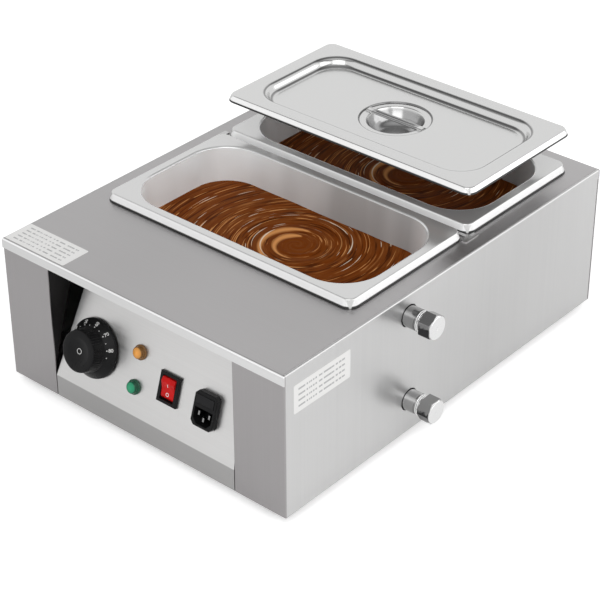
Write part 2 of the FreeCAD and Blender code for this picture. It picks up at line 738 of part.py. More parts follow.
def make_side_panel(label, side, ported):
    """One folded sheet: side wall, front cheek, rear flange and the fold along the deck."""
    body = new_piece(label)
    fold_top = deck_top - size.lip_drop - size.seam
    plan = sketch_on(body, "XY_Plane", bottom)
    inner = half_width - size.sheet
    back = rear_face - size.sheet
    corners = [
        (recess_half, front_face), (half_width, front_face), (half_width, back),
        (half_width - size.flange, back), (half_width - size.flange, back - size.sheet),
        (inner, back - size.sheet), (inner, cheek_back), (recess_half, cheek_back),
    ]
    polygon(plan, [(side * x, y) for x, y in corners])
    last = pad(body, plan, fold_top - bottom)
    last = round_edges(body, last, size.edge_radius, upright_at(side * half_width, front_face))
    last = round_edges(body, last, size.edge_radius, upright_at(side * half_width, back))
    upper = sketch_on(body, "XZ_Plane", -front_face)
    land = half_width - size.fold_radius - size.sheet / 2
    section = [
        (inner, fold_top), (half_width, fold_top), (half_width, deck_top),
        (land, deck_top), (land, deck_under), (inner, deck_under),
    ]
    polygon(upper, [(side * x, z) for x, z in section])
    last = pad(body, upper, back - front_face, reverse=True)
    last = round_edges(body, last, size.fold_radius,
                       lambda box: near(box.XMin, side * half_width) and near(box.XMax, side * half_width)
                       and near(box.ZMin, deck_top) and near(box.ZMax, deck_top))
    cheek = sketch_on(body, "XZ_Plane", -front_face)
    low, high = sorted((side * recess_half, side * (inner + size.sheet / 2)), key=lambda value: value.number)
    rectangle(cheek, low, high, fold_top, deck_under)
    pad(body, cheek, size.sheet, reverse=True)
    if ported:
        holes = sketch_on(body, "YZ_Plane", inner - size.flange)
        circle(holes, size.port_hole, *overflow_line)
        circle(holes, size.port_hole, *drain_line)
        pocket(body, holes, 2 * size.flange, reverse=True)
    screws = sketch_on(body, "XZ_Plane", -back - size.sheet)
    for height in rear_screw_heights():
        circle(screws, size.rear_screw + size.snug_gap, side * rear_screw_line(), height)
    pocket(body, screws, 3 * size.sheet, reverse=True)
    place(body)


def rear_screw_line():
    return half_width - size.flange / 2


def rear_screw_heights():
    return [bottom + size.body_height * share for share in (0.12, 0.5, 0.88)]


def make_gusset(label, side):
    """Return plate behind a cheek's inner edge, cut along the panel's slope."""
    body = new_piece(label)
    profile = sketch_on(body, "YZ_Plane", side * recess_half)
    lean = tangent(size.panel_slope)
    low = fold_height + (size.sheet + size.gusset_gap) / lean
    top_reach = front_face + slope_height * lean - size.gusset_gap
    polygon(profile, [(cheek_back, low), (top_reach, deck_under), (cheek_back, deck_under)])
    pad(body, profile, size.sheet, reverse=side < 0)
    place(body)


def slot_row(body, sketch, middle, reverse):
    """Cuts a row of vent slots by a linear pattern along X."""
    span = size.slot_pitch * (size.slot_count - 1)
    centred_rectangle(sketch, size.slot_width, size.slot_length, -span / 2, middle)
    cut = pocket(body, sketch, 3 * size.sheet, reverse=reverse)
    row = feature(body, "LinearPattern", Originals=[cut], Length=span)
    row.Direction = (sketch, ["H_Axis"])
    bind(row, "Occurrences", size.slot_count)
    body.Tip = row


def make_rear_panel():
    body = new_piece("rear_panel")
    plate = sketch_on(body, "XZ_Plane", -rear_face)
    rectangle(plate, -half_width, half_width, bottom, deck_under)
    for side in (-1, 1):
        for height in rear_screw_heights():
            circle(plate, size.rear_screw + size.snug_gap, side * rear_screw_line(), height)
    pad(body, plate, size.sheet)
    slots = sketch_on(body, "XZ_Plane", -rear_face - size.sheet)
    slot_row(body, slots, bottom + size.body_height / 2, True)
    place(body)


def make_rear_screws():
    """Six pan-head screws through the rear panel into the side flanges."""
    body = new_piece("rear_screws")
    heads = sketch_on(body, "XZ_Plane", -rear_face)
    shanks = sketch_on(body, "XZ_Plane", -rear_face)
    for side in (-1, 1):
        for height in rear_screw_heights():
            circle(heads, size.rear_head, side * rear_screw_line(), height)
            circle(shanks, size.rear_screw, side * rear_screw_line(), height)
    pad(body, heads, size.rear_head_height, reverse=True)
    pad(body, shanks, size.rear_screw_length)
    place(body)


def foot_places():
    x = half_width - size.foot_inset
    y = half_depth - size.foot_inset
    return [(-x, -y), (x, -y), (x, y), (-x, y)]


def make_base_plate():
    """Tray with turned-up sides and rear, open at the front for the control panel's flange."""
    body = new_piece("base_plate")
    left = half_width - size.sheet - size.seam
    back = rear_face - 2 * size.sheet - size.seam
    front = cheek_back + size.seam
    block = sketch_on(body, "XY_Plane", base_top - size.sheet)
    rectangle(block, -left, left, front, back)
    pad(body, block, size.base_wall)
    hollow = sketch_on(body, "XY_Plane", base_top)
    inner = left - size.sheet
    rectangle(hollow, -inner, inner, front - size.flange, back - size.sheet)
    pocket(body, hollow, size.base_wall, reverse=True)
    holes = sketch_on(body, "XY_Plane", base_top)
    for x, y in foot_places():
        circle(holes, size.foot_screw + size.snug_gap, x, y)
    pocket(body, holes, 3 * size.sheet)
    slots = sketch_on(body, "XY_Plane", base_top)
    slot_row(body, slots, -half_depth / 2, False)
    place(body)


def make_feet():
    """Four rubber feet, each with a recess for its screw head."""
    body = new_piece("rubber_feet")
    height = base_top - size.sheet
    outer = sketch_on(body, "XY_Plane")
    for x, y in foot_places():
        circle(outer, size.foot_radius, x, y)
    last = pad(body, outer, height)
    last = round_edges(body, last, 2.5, flat_at(0))
    recess = sketch_on(body, "XY_Plane")
    hole = sketch_on(body, "XY_Plane")
    for x, y in foot_places():
        circle(recess, size.foot_head + 1, x, y)
        circle(hole, size.foot_screw + size.snug_gap, x, y)
    pocket(body, recess, size.foot_recess, reverse=True)
    pocket(body, hole, height, reverse=True)
    place(body)
    screws = new_piece("foot_screws")
    head = sketch_on(screws, "XY_Plane", size.foot_recess)
    shank = sketch_on(screws, "XY_Plane", size.foot_recess)
    for x, y in foot_places():
        circle(head, size.foot_head, x, y)
        circle(shank, size.foot_screw, x, y)
    pad(screws, head, size.foot_head_height, reverse=True)
    pad(screws, shank, base_top - size.foot_recess + size.foot_nut_height + 2)
    place(screws)
    nuts = new_piece("foot_nuts")
    hexagons = sketch_on(nuts, "XY_Plane", base_top)
    for x, y in foot_places():
        hexagon(hexagons, size.foot_nut, x, y)
        circle(hexagons, size.foot_screw + size.snug_gap, x, y)
    pad(nuts, hexagons, size.foot_nut_height)
    place(nuts)


def up_slope(back, up):
    """Turns a step back and up in the housing into the panel's own two directions."""
    lean_sine = sine(size.panel_slope)
    lean_cosine = cosine(size.panel_slope)
    return back * lean_sine + up * lean_cosine, up * lean_sine - back * lean_cosine


def make_control_panel():
    """One folded sheet: bottom flange, upright band, raked slope and top flange."""
    body = new_piece("control_panel")
    lean = tangent(size.panel_slope)
    thick = size.sheet
    slant = thick / cosine(size.panel_slope)
    top_back = slope_height * lean
    section = [
        (as_size(0), -size.band_height), (as_size(0), as_size(0)), (top_back, slope_height),
        (top_back + size.flange, slope_height), (top_back + size.flange, slope_height - thick),
        ((slope_height - thick) * lean + slant, slope_height - thick),
        (thick, (thick - slant) / lean), (thick, thick - size.band_height),
        (size.flange, thick - size.band_height), (size.flange, -size.band_height),
    ]
    profile = sketch_on(body, "YZ_Plane")
    polygon(profile, [up_slope(back, up) for back, up in section])
    panel_half = recess_half - size.panel_gap
    pad(body, profile, 2 * panel_half, both=True)
    rake = sketch_on(body, "XY_Plane", size.sheet)
    slope_length = slope_height / cosine(size.panel_slope)
    for side in (-1, 1):
        polygon(rake, [(side * panel_half, as_size(0)), (side * size.body_width, as_size(0)),
                       (side * size.body_width, slope_length + size.flange),
                       (side * (panel_half - size.panel_rake), slope_length + size.flange)])
    pocket(body, rake, 2 * size.flange)
    holes = sketch_on(body, "XY_Plane", size.sheet)
    circle(holes, size.bush_radius + size.cutout_gap, knob_across, size.knob_rise)
    for rise in (size.orange_rise, size.green_rise):
        circle(holes, size.lamp_barrel + size.cutout_gap, lamp_across, rise)
    centred_rectangle(holes, size.switch_body_width + 2 * size.cutout_gap,
                      size.switch_body_rise + 2 * size.cutout_gap, switch_across, size.switch_rise)
    centred_rectangle(holes, size.inlet_body_width + 2 * size.cutout_gap,
                      size.inlet_body_height + 2 * size.cutout_gap, inlet_across, size.inlet_rise)
    pocket(body, holes, 3 * size.sheet)
    place_on_panel(body)


# The water bath and what is in it


def make_bath():
    body = new_piece("water_bath")
    wall = size.bath_sheet
    outer = sketch_on(body, "XY_Plane", bath_bottom)
    rounded_rectangle(outer, 2 * (opening_half_x + wall), 2 * (opening_half_y + wall),
                      size.bath_corner + wall, pan_group)
    pad(body, outer, size.bath_depth)
    rim = sketch_on(body, "XY_Plane", deck_under - wall)
    rounded_rectangle(rim, 2 * (opening_half_x + size.flange), 2 * (opening_half_y + size.flange),
                      size.bath_corner + size.flange, pan_group)
    pad(body, rim, wall)
    inner = sketch_on(body, "XY_Plane", deck_under)
    rounded_rectangle(inner, 2 * opening_half_x, 2 * opening_half_y, size.bath_corner, pan_group)
    last = pocket(body, inner, size.bath_depth - wall)
    last = round_edges(body, last, size.bath_fold - wall, flat_at(bath_floor))
    round_edges(body, last, size.bath_fold, flat_at(bath_bottom))
    ports = sketch_on(body, "YZ_Plane", opening_half_x - size.bath_fold)
    circle(ports, size.sleeve_radius + size.snug_gap, *overflow_line)
    circle(ports, size.sleeve_radius + size.snug_gap, *drain_line)
    pocket(body, ports, 2 * size.bath_fold, reverse=True)
    glands = sketch_on(body, "XZ_Plane", -bath_front - size.bath_fold)
    for across in (-size.heater_half, size.heater_half, size.bulb_across):
        circle(glands, size.gland_radius + size.snug_gap, across, heater_height)
    pocket(body, glands, 2 * size.bath_fold, reverse=True)
    place(body)


def make_divider_bar():
    """Channel between the pans; a tongue at each end lies on the deck and ends in a wide tab."""
    body = new_piece("divider_bar")
    inner = opening_half_x - size.seam
    section = sketch_on(body, "YZ_Plane")
    rectangle(section, pan_group - size.bar_width / 2, pan_group + size.bar_width / 2,
              deck_top - size.bar_web, deck_top)
    pad(body, section, 2 * inner, both=True)
    hollow = sketch_on(body, "YZ_Plane")
    rectangle(hollow, pan_group - size.bar_width / 2 + size.bar_sheet,
              pan_group + size.bar_width / 2 - size.bar_sheet,
              deck_top - 2 * size.bar_web, deck_top - size.bar_sheet)
    pocket(body, hollow, 2 * size.body_width, both=True)
    tongue_half = size.pan_spacing / 2 - 0.4
    tab_start = size.pan_length / 2 + 0.6
    tab_end = size.pan_length / 2 + size.bar_overhang
    tabs = sketch_on(body, "XY_Plane", deck_top)
    for side in (-1, 1):
        outline = [(inner - size.bar_width, tongue_half), (tab_start, tongue_half),
                   (tab_start, size.bar_width / 2), (tab_end, size.bar_width / 2)]
        upper = [(side * x, pan_group + y) for x, y in outline]
        lower = [(side * x, pan_group - y) for x, y in reversed(outline)]
        polygon(tabs, upper + lower)
    pad(body, tabs, size.bar_sheet)
    place(body)


def gland_lines():
    return [(-size.heater_half, heater_height), (size.heater_half, heater_height),
            (size.bulb_across, heater_height)]


def make_heater():
    """U-shaped immersion tube with two threaded glands, nuts, seals and blades."""
    outside = bath_front - size.bath_sheet
    end = outside - 2 * size.flange
    back = pan_group + opening_half_y - size.heater_bend
    route = [(-size.heater_half, end, heater_height), (-size.heater_half, back, heater_height),
             (size.heater_half, back, heater_height), (size.heater_half, end, heater_height)]
    tube, _ = bent_tube("heating_element", route, size.heater_bend, size.heater_radius)
    shape_piece("heating_element", tube)
    glands = new_piece("heater_glands")
    nuts = new_piece("heater_nuts")
    seals = new_piece("heater_seals")
    blades = new_piece("heater_blades")
    gland = sketch_on(glands, "XZ_Plane", -bath_front)
    head = sketch_on(glands, "XZ_Plane", -bath_front)
    nut = sketch_on(nuts, "XZ_Plane", size.port_seal - outside)
    seal = sketch_on(seals, "XZ_Plane", -outside)
    blade = sketch_on(blades, "XZ_Plane", -end)
    for side in (-1, 1):
        across = side * size.heater_half
        for ring in (gland, head):
            circle(ring, size.heater_radius + size.snug_gap, across, heater_height)
        circle(gland, size.gland_radius, across, heater_height)
        circle(head, size.gland_nut, across, heater_height)
        hexagon(nut, size.gland_nut, across, heater_height)
        circle(nut, size.gland_radius + size.snug_gap, across, heater_height)
        circle(seal, size.gland_nut + 1, across, heater_height)
        circle(seal, size.gland_radius + size.snug_gap, across, heater_height)
        centred_rectangle(blade, as_size(6.3), as_size(0.8), across, heater_height)
    pad(glands, gland, size.flange)
    pad(glands, head, 3 * size.bath_sheet, reverse=True)
    pad(nuts, nut, size.locknut_height)
    pad(seals, seal, size.port_seal)
    pad(blades, blade, size.flange)
    for body in (glands, nuts, seals, blades):
        place(body)


def make_thermostat():
    """Body, bush and nut behind the knob, and the bulb that its capillary leads to."""
    body = new_piece("thermostat_body")
    back = -size.sheet
    case = sketch_on(body, "XY_Plane", back)
    centred_rectangle(case, size.thermostat_width, size.thermostat_rise)
    pad(body, case, size.thermostat_depth, reverse=True)
    bush = sketch_on(body, "XY_Plane", back)
    circle(bush, size.bush_radius)
    pad(body, bush, size.bush_height + size.sheet)
    bore = sketch_on(body, "XY_Plane", size.bush_height)
    circle(bore, size.shaft_radius + size.running_gap)
    pocket(body, bore, size.bush_height + size.flange + size.seam)
    place_on_panel(body, knob_across, size.knob_rise)
    nut = new_piece("thermostat_nut")
    ring = sketch_on(nut, "XY_Plane")
    hexagon(ring, size.bush_nut)
    circle(ring, size.bush_radius + size.snug_gap)
    pad(nut, ring, size.bush_height - 3)
    place_on_panel(nut, knob_across, size.knob_rise)
    inward = size.thermostat_depth + size.sheet
    lean_sine = sine(size.panel_slope)
    lean_cosine = cosine(size.panel_slope)
    exit_y = front_face + size.knob_rise * lean_sine + inward * lean_cosine
    exit_z = fold_height + size.knob_rise * lean_cosine - inward * lean_sine
    outside = bath_front - size.bath_sheet
    middle_y = (exit_y + outside) / 2
    bulb_start = bath_front + size.flange
    route = [
        (knob_across, exit_y, exit_z),
        (knob_across, middle_y, exit_z),
        (size.bulb_across, middle_y, heater_height),
        (size.bulb_across, bulb_start, heater_height),
    ]
    tube, _ = bent_tube("capillary", route, 4 * size.capillary_radius, size.capillary_radius)
    start = Vector(shift_x.number + size.bulb_across.number, shift_y.number + bulb_start.number,
                   heater_height.number)
    bulb = Part.makeCylinder(size.bulb_radius.number, size.bulb_length.number, start, Vector(0, 1, 0))
    shape_piece("thermostat_capillary", tube.fuse(bulb).removeSplitter())
    gland = new_piece("bulb_gland")
    barrel = sketch_on(gland, "XZ_Plane", -bath_front)
    circle(barrel, size.gland_radius, size.bulb_across, heater_height)
    circle(barrel, size.capillary_radius + size.snug_gap, size.bulb_across, heater_height)
    pad(gland, barrel, size.flange)
    head = sketch_on(gland, "XZ_Plane", -bath_front)
    circle(head, size.gland_nut, size.bulb_across, heater_height)
    circle(head, size.capillary_radius + size.snug_gap, size.bulb_across, heater_height)
    pad(gland, head, 3 * size.bath_sheet, reverse=True)
    place(gland)
    nut = new_piece("bulb_gland_nut")
    ring = sketch_on(nut, "XZ_Plane", -outside)
    hexagon(ring, size.gland_nut, size.bulb_across, heater_height)
    circle(ring, size.gland_radius + size.snug_gap, size.bulb_across, heater_height)
    pad(nut, ring, size.locknut_height)
    place(nut)


# The ports


def make_port(name, line, turn):
    """Nipple through the side, its lock nut and seal on the bath, and its screwed cap."""
    wall = opening_half_x + size.bath_sheet
    nipple = new_piece(name + "_nipple")
    sleeve = sketch_on(nipple, "YZ_Plane", opening_half_x)
    circle(sleeve, size.sleeve_radius)
    pad(nipple, sleeve, half_width - opening_half_x + size.sleeve_reach)
    thread = sketch_on(nipple, "YZ_Plane", half_width)
    circle(thread, size.thread_radius)
    last = pad(nipple, thread, size.thread_reach)
    last = feature(nipple, "Chamfer", Base=(last, edges_where(
        last, lambda box: near(box.XMin, half_width + size.thread_reach))), Size=0.6)
    bore = sketch_on(nipple, "YZ_Plane", opening_half_x)
    circle(bore, size.port_bore)
    pocket(nipple, bore, size.body_width, reverse=True)
    locknut = new_piece(name + "_locknut")
    ring = sketch_on(locknut, "YZ_Plane", wall + size.port_seal)
    hexagon(ring, size.sleeve_radius + 4)
    circle(ring, size.sleeve_radius + size.snug_gap)
    pad(locknut, ring, size.locknut_height)
    seal = new_piece(name + "_seal")
    disc = sketch_on(seal, "YZ_Plane", wall)
    circle(disc, size.sleeve_radius + 4)
    circle(disc, size.sleeve_radius + size.snug_gap)
    pad(seal, disc, size.port_seal)
    cap = new_piece(name + "_cap")
    hexed = sketch_on(cap, "YZ_Plane", half_width + size.cap_start)
    hexagon(hexed, size.cap_flats, first=turn)
    pad(cap, hexed, size.cap_end - size.cap_start)
    disc = sketch_on(cap, "YZ_Plane", half_width + size.cap_end)
    circle(disc, size.cap_flats)
    pad(cap, disc, size.cap_disc)
    bevel = sketch_on(cap, "XY_Plane")
    end = half_width + size.cap_end
    polygon(bevel, [(end, size.cap_flats), (end, 1.3 * size.cap_flats),
                    (end - 0.3 * size.cap_flats * math.tan(math.radians(30)), 1.3 * size.cap_flats)])
    turn_about(cap, bevel, "H_Axis", cut=True)
    dimple = sketch_on(cap, "XY_Plane")
    face = end + size.cap_disc
    polygon(dimple, [(face - 0.5, as_size(0)), (face, 1.8), (face + 1, 1.8), (face + 1, as_size(0))])
    turn_about(cap, dimple, "H_Axis", cut=True)
    socket = sketch_on(cap, "YZ_Plane", half_width + size.cap_start)
    circle(socket, size.thread_radius + size.running_gap)
    pocket(cap, socket, size.thread_reach + size.washer_height - size.cap_start, reverse=True)
    washer = new_piece(name + "_cap_washer")
    disc = sketch_on(washer, "YZ_Plane", half_width + size.thread_reach)
    circle(disc, size.thread_radius)
    pad(washer, disc, size.washer_height)
    for body in (nipple, locknut, seal, cap, washer):
        place(body, 0, *line)


# The control panel's fittings


def make_knob():
    """One moulding: conical dial, tapered grip and dished face, on a flatted shaft."""
    body = new_piece("temperature_knob")
    edge = size.skirt_start + size.skirt_edge
    section = sketch_on(body, "XZ_Plane")
    polygon(section, [(as_size(0), size.skirt_start), (size.skirt_radius, size.skirt_start),
                      (size.skirt_radius, edge), (size.grip_base, edge + size.cone_height),
                      (size.grip_face, size.knob_height), (as_size(0), size.knob_height)])
    last = turn_about(body, section, "V_Axis")
    last = round_edges(body, last, 1.2, flat_at(size.knob_height))
    dish = sketch_on(body, "XZ_Plane")
    dish_floor = size.knob_height - size.dish_depth
    polygon(dish, [(as_size(0), size.knob_height + 1), (size.dish_radius + 1, size.knob_height + 1),
                   (size.dish_radius, size.knob_height), (size.dish_radius * 0.6, dish_floor),
                   (as_size(0), dish_floor)])
    turn_about(body, dish, "V_Axis", cut=True)
    hollow = sketch_on(body, "XY_Plane", size.skirt_start)
    circle(hollow, size.bush_nut + 3)
    pocket(body, hollow, size.bush_height - size.skirt_start + 1, reverse=True)
    bore = sketch_on(body, "XY_Plane", size.skirt_start)
    circle(bore, size.shaft_radius + size.snug_gap)
    pocket(body, bore, size.bore_depth, reverse=True)
    place_on_panel(body, knob_across, size.knob_rise)
    shaft = new_piece("thermostat_shaft")
    rod = sketch_on(shaft, "XY_Plane", -size.flange)
    circle(rod, size.shaft_radius)
    length = size.flange + size.skirt_start + size.bore_depth
    last = pad(shaft, rod, length - 0.5)
    flat = sketch_on(shaft, "XY_Plane", size.bush_height + 1)
    rectangle(flat, size.shaft_radius - size.shaft_flat, 2 * size.shaft_radius,
              -2 * size.shaft_radius, 2 * size.shaft_radius)
    pocket(shaft, flat, length, reverse=True)
    place_on_panel(shaft, knob_across, size.knob_rise)


def make_lamp(name, rise):
    """Coloured lens with a flange before the panel, barrel and clip behind it."""
    lens = new_piece(name + "_lamp_lens")
    section = sketch_on(lens, "XZ_Plane")
    polygon(section, [(as_size(0), as_size(0)), (size.lamp_flange, as_size(0)),
                      (size.lamp_flange, size.lamp_flange_height), (size.lamp_lens, size.lamp_flange_height),
                      (size.lamp_lens, size.lamp_height), (as_size(0), size.lamp_height)])
    last = turn_about(lens, section, "V_Axis")
    round_edges(lens, last, 2.2, flat_at(size.lamp_height))
    barrel = new_piece(name + "_lamp_barrel")
    tube = sketch_on(barrel, "XY_Plane")
    circle(tube, size.lamp_barrel)
    pad(barrel, tube, size.lamp_depth, reverse=True)
    leads = sketch_on(barrel, "XY_Plane", -size.lamp_depth)
    for side in (-1, 1):
        centred_rectangle(leads, as_size(0.8), as_size(4.8), as_size(side * 3.0), as_size(0))
    pad(barrel, leads, 8, reverse=True)
    clip = new_piece(name + "_lamp_clip")
    ring = sketch_on(clip, "XY_Plane", -size.sheet)
    circle(ring, size.lamp_flange)
    circle(ring, size.lamp_barrel + size.snug_gap)
    pad(clip, ring, 1.5, reverse=True)
    for body in (lens, barrel, clip):
        place_on_panel(body, lamp_across, rise)


# The rocker's outline about its pivot, in parts of its radius: two humps with a shallow
# valley between them, and a flat base
ROCKER_OUTLINE = [(0.975, 0.215), (0.67, 0.43), (0.0, 0.34), (-0.67, 0.43), (-0.975, 0.215),
                  (-0.88, -0.37), (0.88, -0.37)]


def make_switch():
    """Bezel and body with a rocker well, and a rocker on two trunnions."""
    frame = new_piece("switch_frame")
    bezel = sketch_on(frame, "XY_Plane")
    centred_rectangle(bezel, size.bezel_width, size.bezel_rise)
    last = pad(frame, bezel, size.bezel_height)
    last = round_edges(frame, last, 0.8, flat_at(size.bezel_height))
    case = sketch_on(frame, "XY_Plane")
    centred_rectangle(case, size.switch_body_width, size.switch_body_rise)
    pad(frame, case, size.switch_depth, reverse=True)
    well = sketch_on(frame, "XY_Plane", size.bezel_height)
    centred_rectangle(well, size.rocker_width + 2 * size.rocker_gap,
                      2 * (size.rocker_radius + size.rocker_gap))
    pocket(frame, well, size.bezel_height + size.rocker_radius + size.rocker_gap - size.rocker_pivot)
    bearing = sketch_on(frame, "YZ_Plane")
    circle(bearing, size.trunnion_radius + size.running_gap, 0, size.rocker_pivot)
    pocket(frame, bearing, size.rocker_width + 2 * size.rocker_gap + 2 * size.trunnion_reach, both=True)
    blades = new_piece("switch_blades")
    tabs = sketch_on(blades, "XY_Plane", -size.switch_depth)
    for across in (-5.0, 5.0):
        for rise in (-8.0, 8.0):
            centred_rectangle(tabs, as_size(6.3), as_size(0.8), as_size(across), as_size(rise))
    pad(blades, tabs, 9, reverse=True)
    rocker = new_piece("power_rocker")
    section = sketch_on(rocker, "YZ_Plane")
    lean_cosine = cosine(size.rocker_tilt)
    lean_sine = sine(size.rocker_tilt)
    outline = []
    for along, out in ROCKER_OUTLINE:
        along = along * size.rocker_radius
        out = out * size.rocker_radius
        outline.append((along * lean_cosine - out * lean_sine,
                        size.rocker_pivot + along * lean_sine + out * lean_cosine))
    polygon(section, outline)
    pad(rocker, section, size.rocker_width, both=True)
    pins = sketch_on(rocker, "YZ_Plane")
    circle(pins, size.trunnion_radius, 0, size.rocker_pivot)
    pad(rocker, pins, size.rocker_width + 2 * size.trunnion_reach, both=True)
    for body in (frame, blades, rocker):
        place_on_panel(body, switch_across, size.switch_rise)


def socket_middle():
    return size.socket_rise / 2 - size.socket_low


def make_inlet():
    """Chamfered inlet frame with a three-pin socket and a fuse drawer above it."""
    body = new_piece("power_inlet")
    half = size.inlet_width / 2
    rise = size.inlet_height / 2
    corner = size.inlet_chamfer
    outline = [(half, corner - rise), (half, rise - corner), (half - corner, rise), (corner - half, rise),
               (-half, rise - corner), (-half, corner - rise), (corner - half, -rise), (half - corner, -rise)]
    frame = sketch_on(body, "XY_Plane")
    polygon(frame, outline)
    last = pad(body, frame, size.inlet_proud)
    round_edges(body, last, 0.8, flat_at(size.inlet_proud))
    case = sketch_on(body, "XY_Plane")
    centred_rectangle(case, size.inlet_body_width, size.inlet_body_height)
    pad(body, case, size.inlet_depth, reverse=True)
    socket = sketch_on(body, "XY_Plane", size.inlet_proud)
    low = -size.socket_low
    high = low + size.socket_rise
    side = size.socket_width / 2
    cut = size.socket_chamfer
    polygon(socket, [(cut - side, low), (side - cut, low), (side, low + cut), (side, high),
                     (-side, high), (-side, low + cut)])
    pocket(body, socket, size.socket_depth)
    slot = sketch_on(body, "XY_Plane", size.inlet_proud)
    centred_rectangle(slot, size.drawer_width + 2 * size.drawer_gap, size.drawer_rise + 2 * size.drawer_gap,
                      as_size(0), size.drawer_mid)
    pocket(body, slot, size.drawer_depth + size.drawer_gap)
    pins = new_piece("inlet_pins")
    posts = sketch_on(pins, "XY_Plane", size.inlet_proud - size.socket_depth)
    tails = sketch_on(pins, "XY_Plane", -size.inlet_depth)
    middle = socket_middle()
    upper = middle + size.pin_step / 2
    for across, height in ((-size.pin_spread, upper), (size.pin_spread, upper),
                           (as_size(0), upper - size.pin_step)):
        centred_rectangle(posts, as_size(2.0), as_size(4.0), across, height)
        centred_rectangle(tails, as_size(0.8), as_size(4.8), across, height)
    last = pad(pins, posts, size.pin_length)
    pad(pins, tails, 8, reverse=True)
    drawer = new_piece("fuse_drawer")
    block = sketch_on(drawer, "XY_Plane", size.inlet_proud + 0.6)
    centred_rectangle(block, size.drawer_width, size.drawer_rise, as_size(0), size.drawer_mid)
    last = pad(drawer, block, size.drawer_depth, reverse=True)
    round_edges(drawer, last, 0.5, flat_at(size.inlet_proud + 0.6))
    tray = sketch_on(drawer, "YZ_Plane")
    wall = size.drawer_wall
    front = size.inlet_proud - 2 * wall
    rectangle(tray, size.drawer_mid - size.drawer_rise / 2 + wall, size.drawer_mid + size.drawer_rise,
              front - 2 * size.fuse_radius - 2 * wall, front)
    pocket(drawer, tray, size.drawer_width - 2 * 0.4, both=True)
    fuse = new_piece("fuse")
    rod = sketch_on(fuse, "YZ_Plane")
    fuse_height = size.drawer_mid - size.drawer_rise / 2 + wall + size.fuse_radius + size.snug_gap
    circle(rod, size.fuse_radius, fuse_height, front - size.fuse_radius - wall)
    pad(fuse, rod, size.fuse_length, both=True)
    for piece in (body, pins, drawer, fuse):
        place_on_panel(piece, inlet_across, size.inlet_rise)


def make_terminal_block():
    body = new_piece("terminal_block")
    block = sketch_on(body, "XY_Plane")
    centred_rectangle(block, size.block_width, size.block_depth)
    pad(body, block, size.block_height)
    wells = sketch_on(body, "XY_Plane", size.block_height)
    screws = new_piece("terminal_screws")
    heads = sketch_on(screws, "XY_Plane", size.block_height - 5)
    for index in range(4):
        across = size.block_pitch * (index - 1.5)
        circle(wells, as_size(3.0), across)
        circle(heads, as_size(2.6), across)
    pocket(body, wells, 5)
    pad(screws, heads, 3)
    for piece in (body, screws):
        place(piece, inlet_across, (cheek_back + bath_front) / 2, base_top)


# Pans, chocolate and lid


def well_section(drop, wall):
    """Length, width and corner radius of a pan's well at a depth, less a wall."""
    share = drop / size.pan_depth
    draw = 2 * size.well_taper * share + 2 * wall
    return (size.pan_length - 2 * size.pan_rim - draw, size.pan_width - 2 * size.pan_rim - draw,
            size.well_corner - 8 * share - wall)


def make_rim(body, skirt):
    """Flat rim with a folded skirt: a rounded block, hollowed from below."""
    block = sketch_on(body, "XY_Plane", -skirt)
    rounded_rectangle(block, size.pan_length, size.pan_width, size.rim_corner)
    pad(body, block, skirt)
    under = sketch_on(body, "XY_Plane", -skirt)
    wall = size.pan_sheet
    rounded_rectangle(under, size.pan_length - 2 * wall, size.pan_width - 2 * wall, size.rim_corner - wall)
    last = pocket(body, under, skirt - wall, reverse=True)
    last = round_edges(body, last, size.rim_fold - wall, flat_at(-wall))
    return round_edges(body, last, size.rim_fold, flat_at(0))


def make_pan(name, side):
    body = new_piece("pan_" + name)
    wall = size.pan_sheet
    make_rim(body, size.pan_skirt)
    loft(body, [(as_size(0), *well_section(as_size(0), 0)),
                (-size.pan_depth, *well_section(size.pan_depth, 0))])
    floor = wall - size.pan_depth
    last = loft(body, [(as_size(0), *well_section(as_size(0), wall)),
                       (floor, *well_section(size.pan_depth - wall, wall))], cut=True)
    last = round_edges(body, last, size.well_floor_fold - wall, flat_at(floor))
    round_edges(body, last, size.well_floor_fold, flat_at(-size.pan_depth))
    chocolate = new_piece("chocolate_" + name)
    gap = wall + size.liquid_gap
    last = loft(chocolate, [(-size.chocolate_drop, *well_section(size.chocolate_drop, gap)),
                            (gap - size.pan_depth, *well_section(size.pan_depth - gap, gap))])
    round_edges(chocolate, last, size.well_floor_fold - wall, flat_at(gap - size.pan_depth))
    for piece in (body, chocolate):
        place(piece, 0, pan_group + side * pan_step, rim_top)


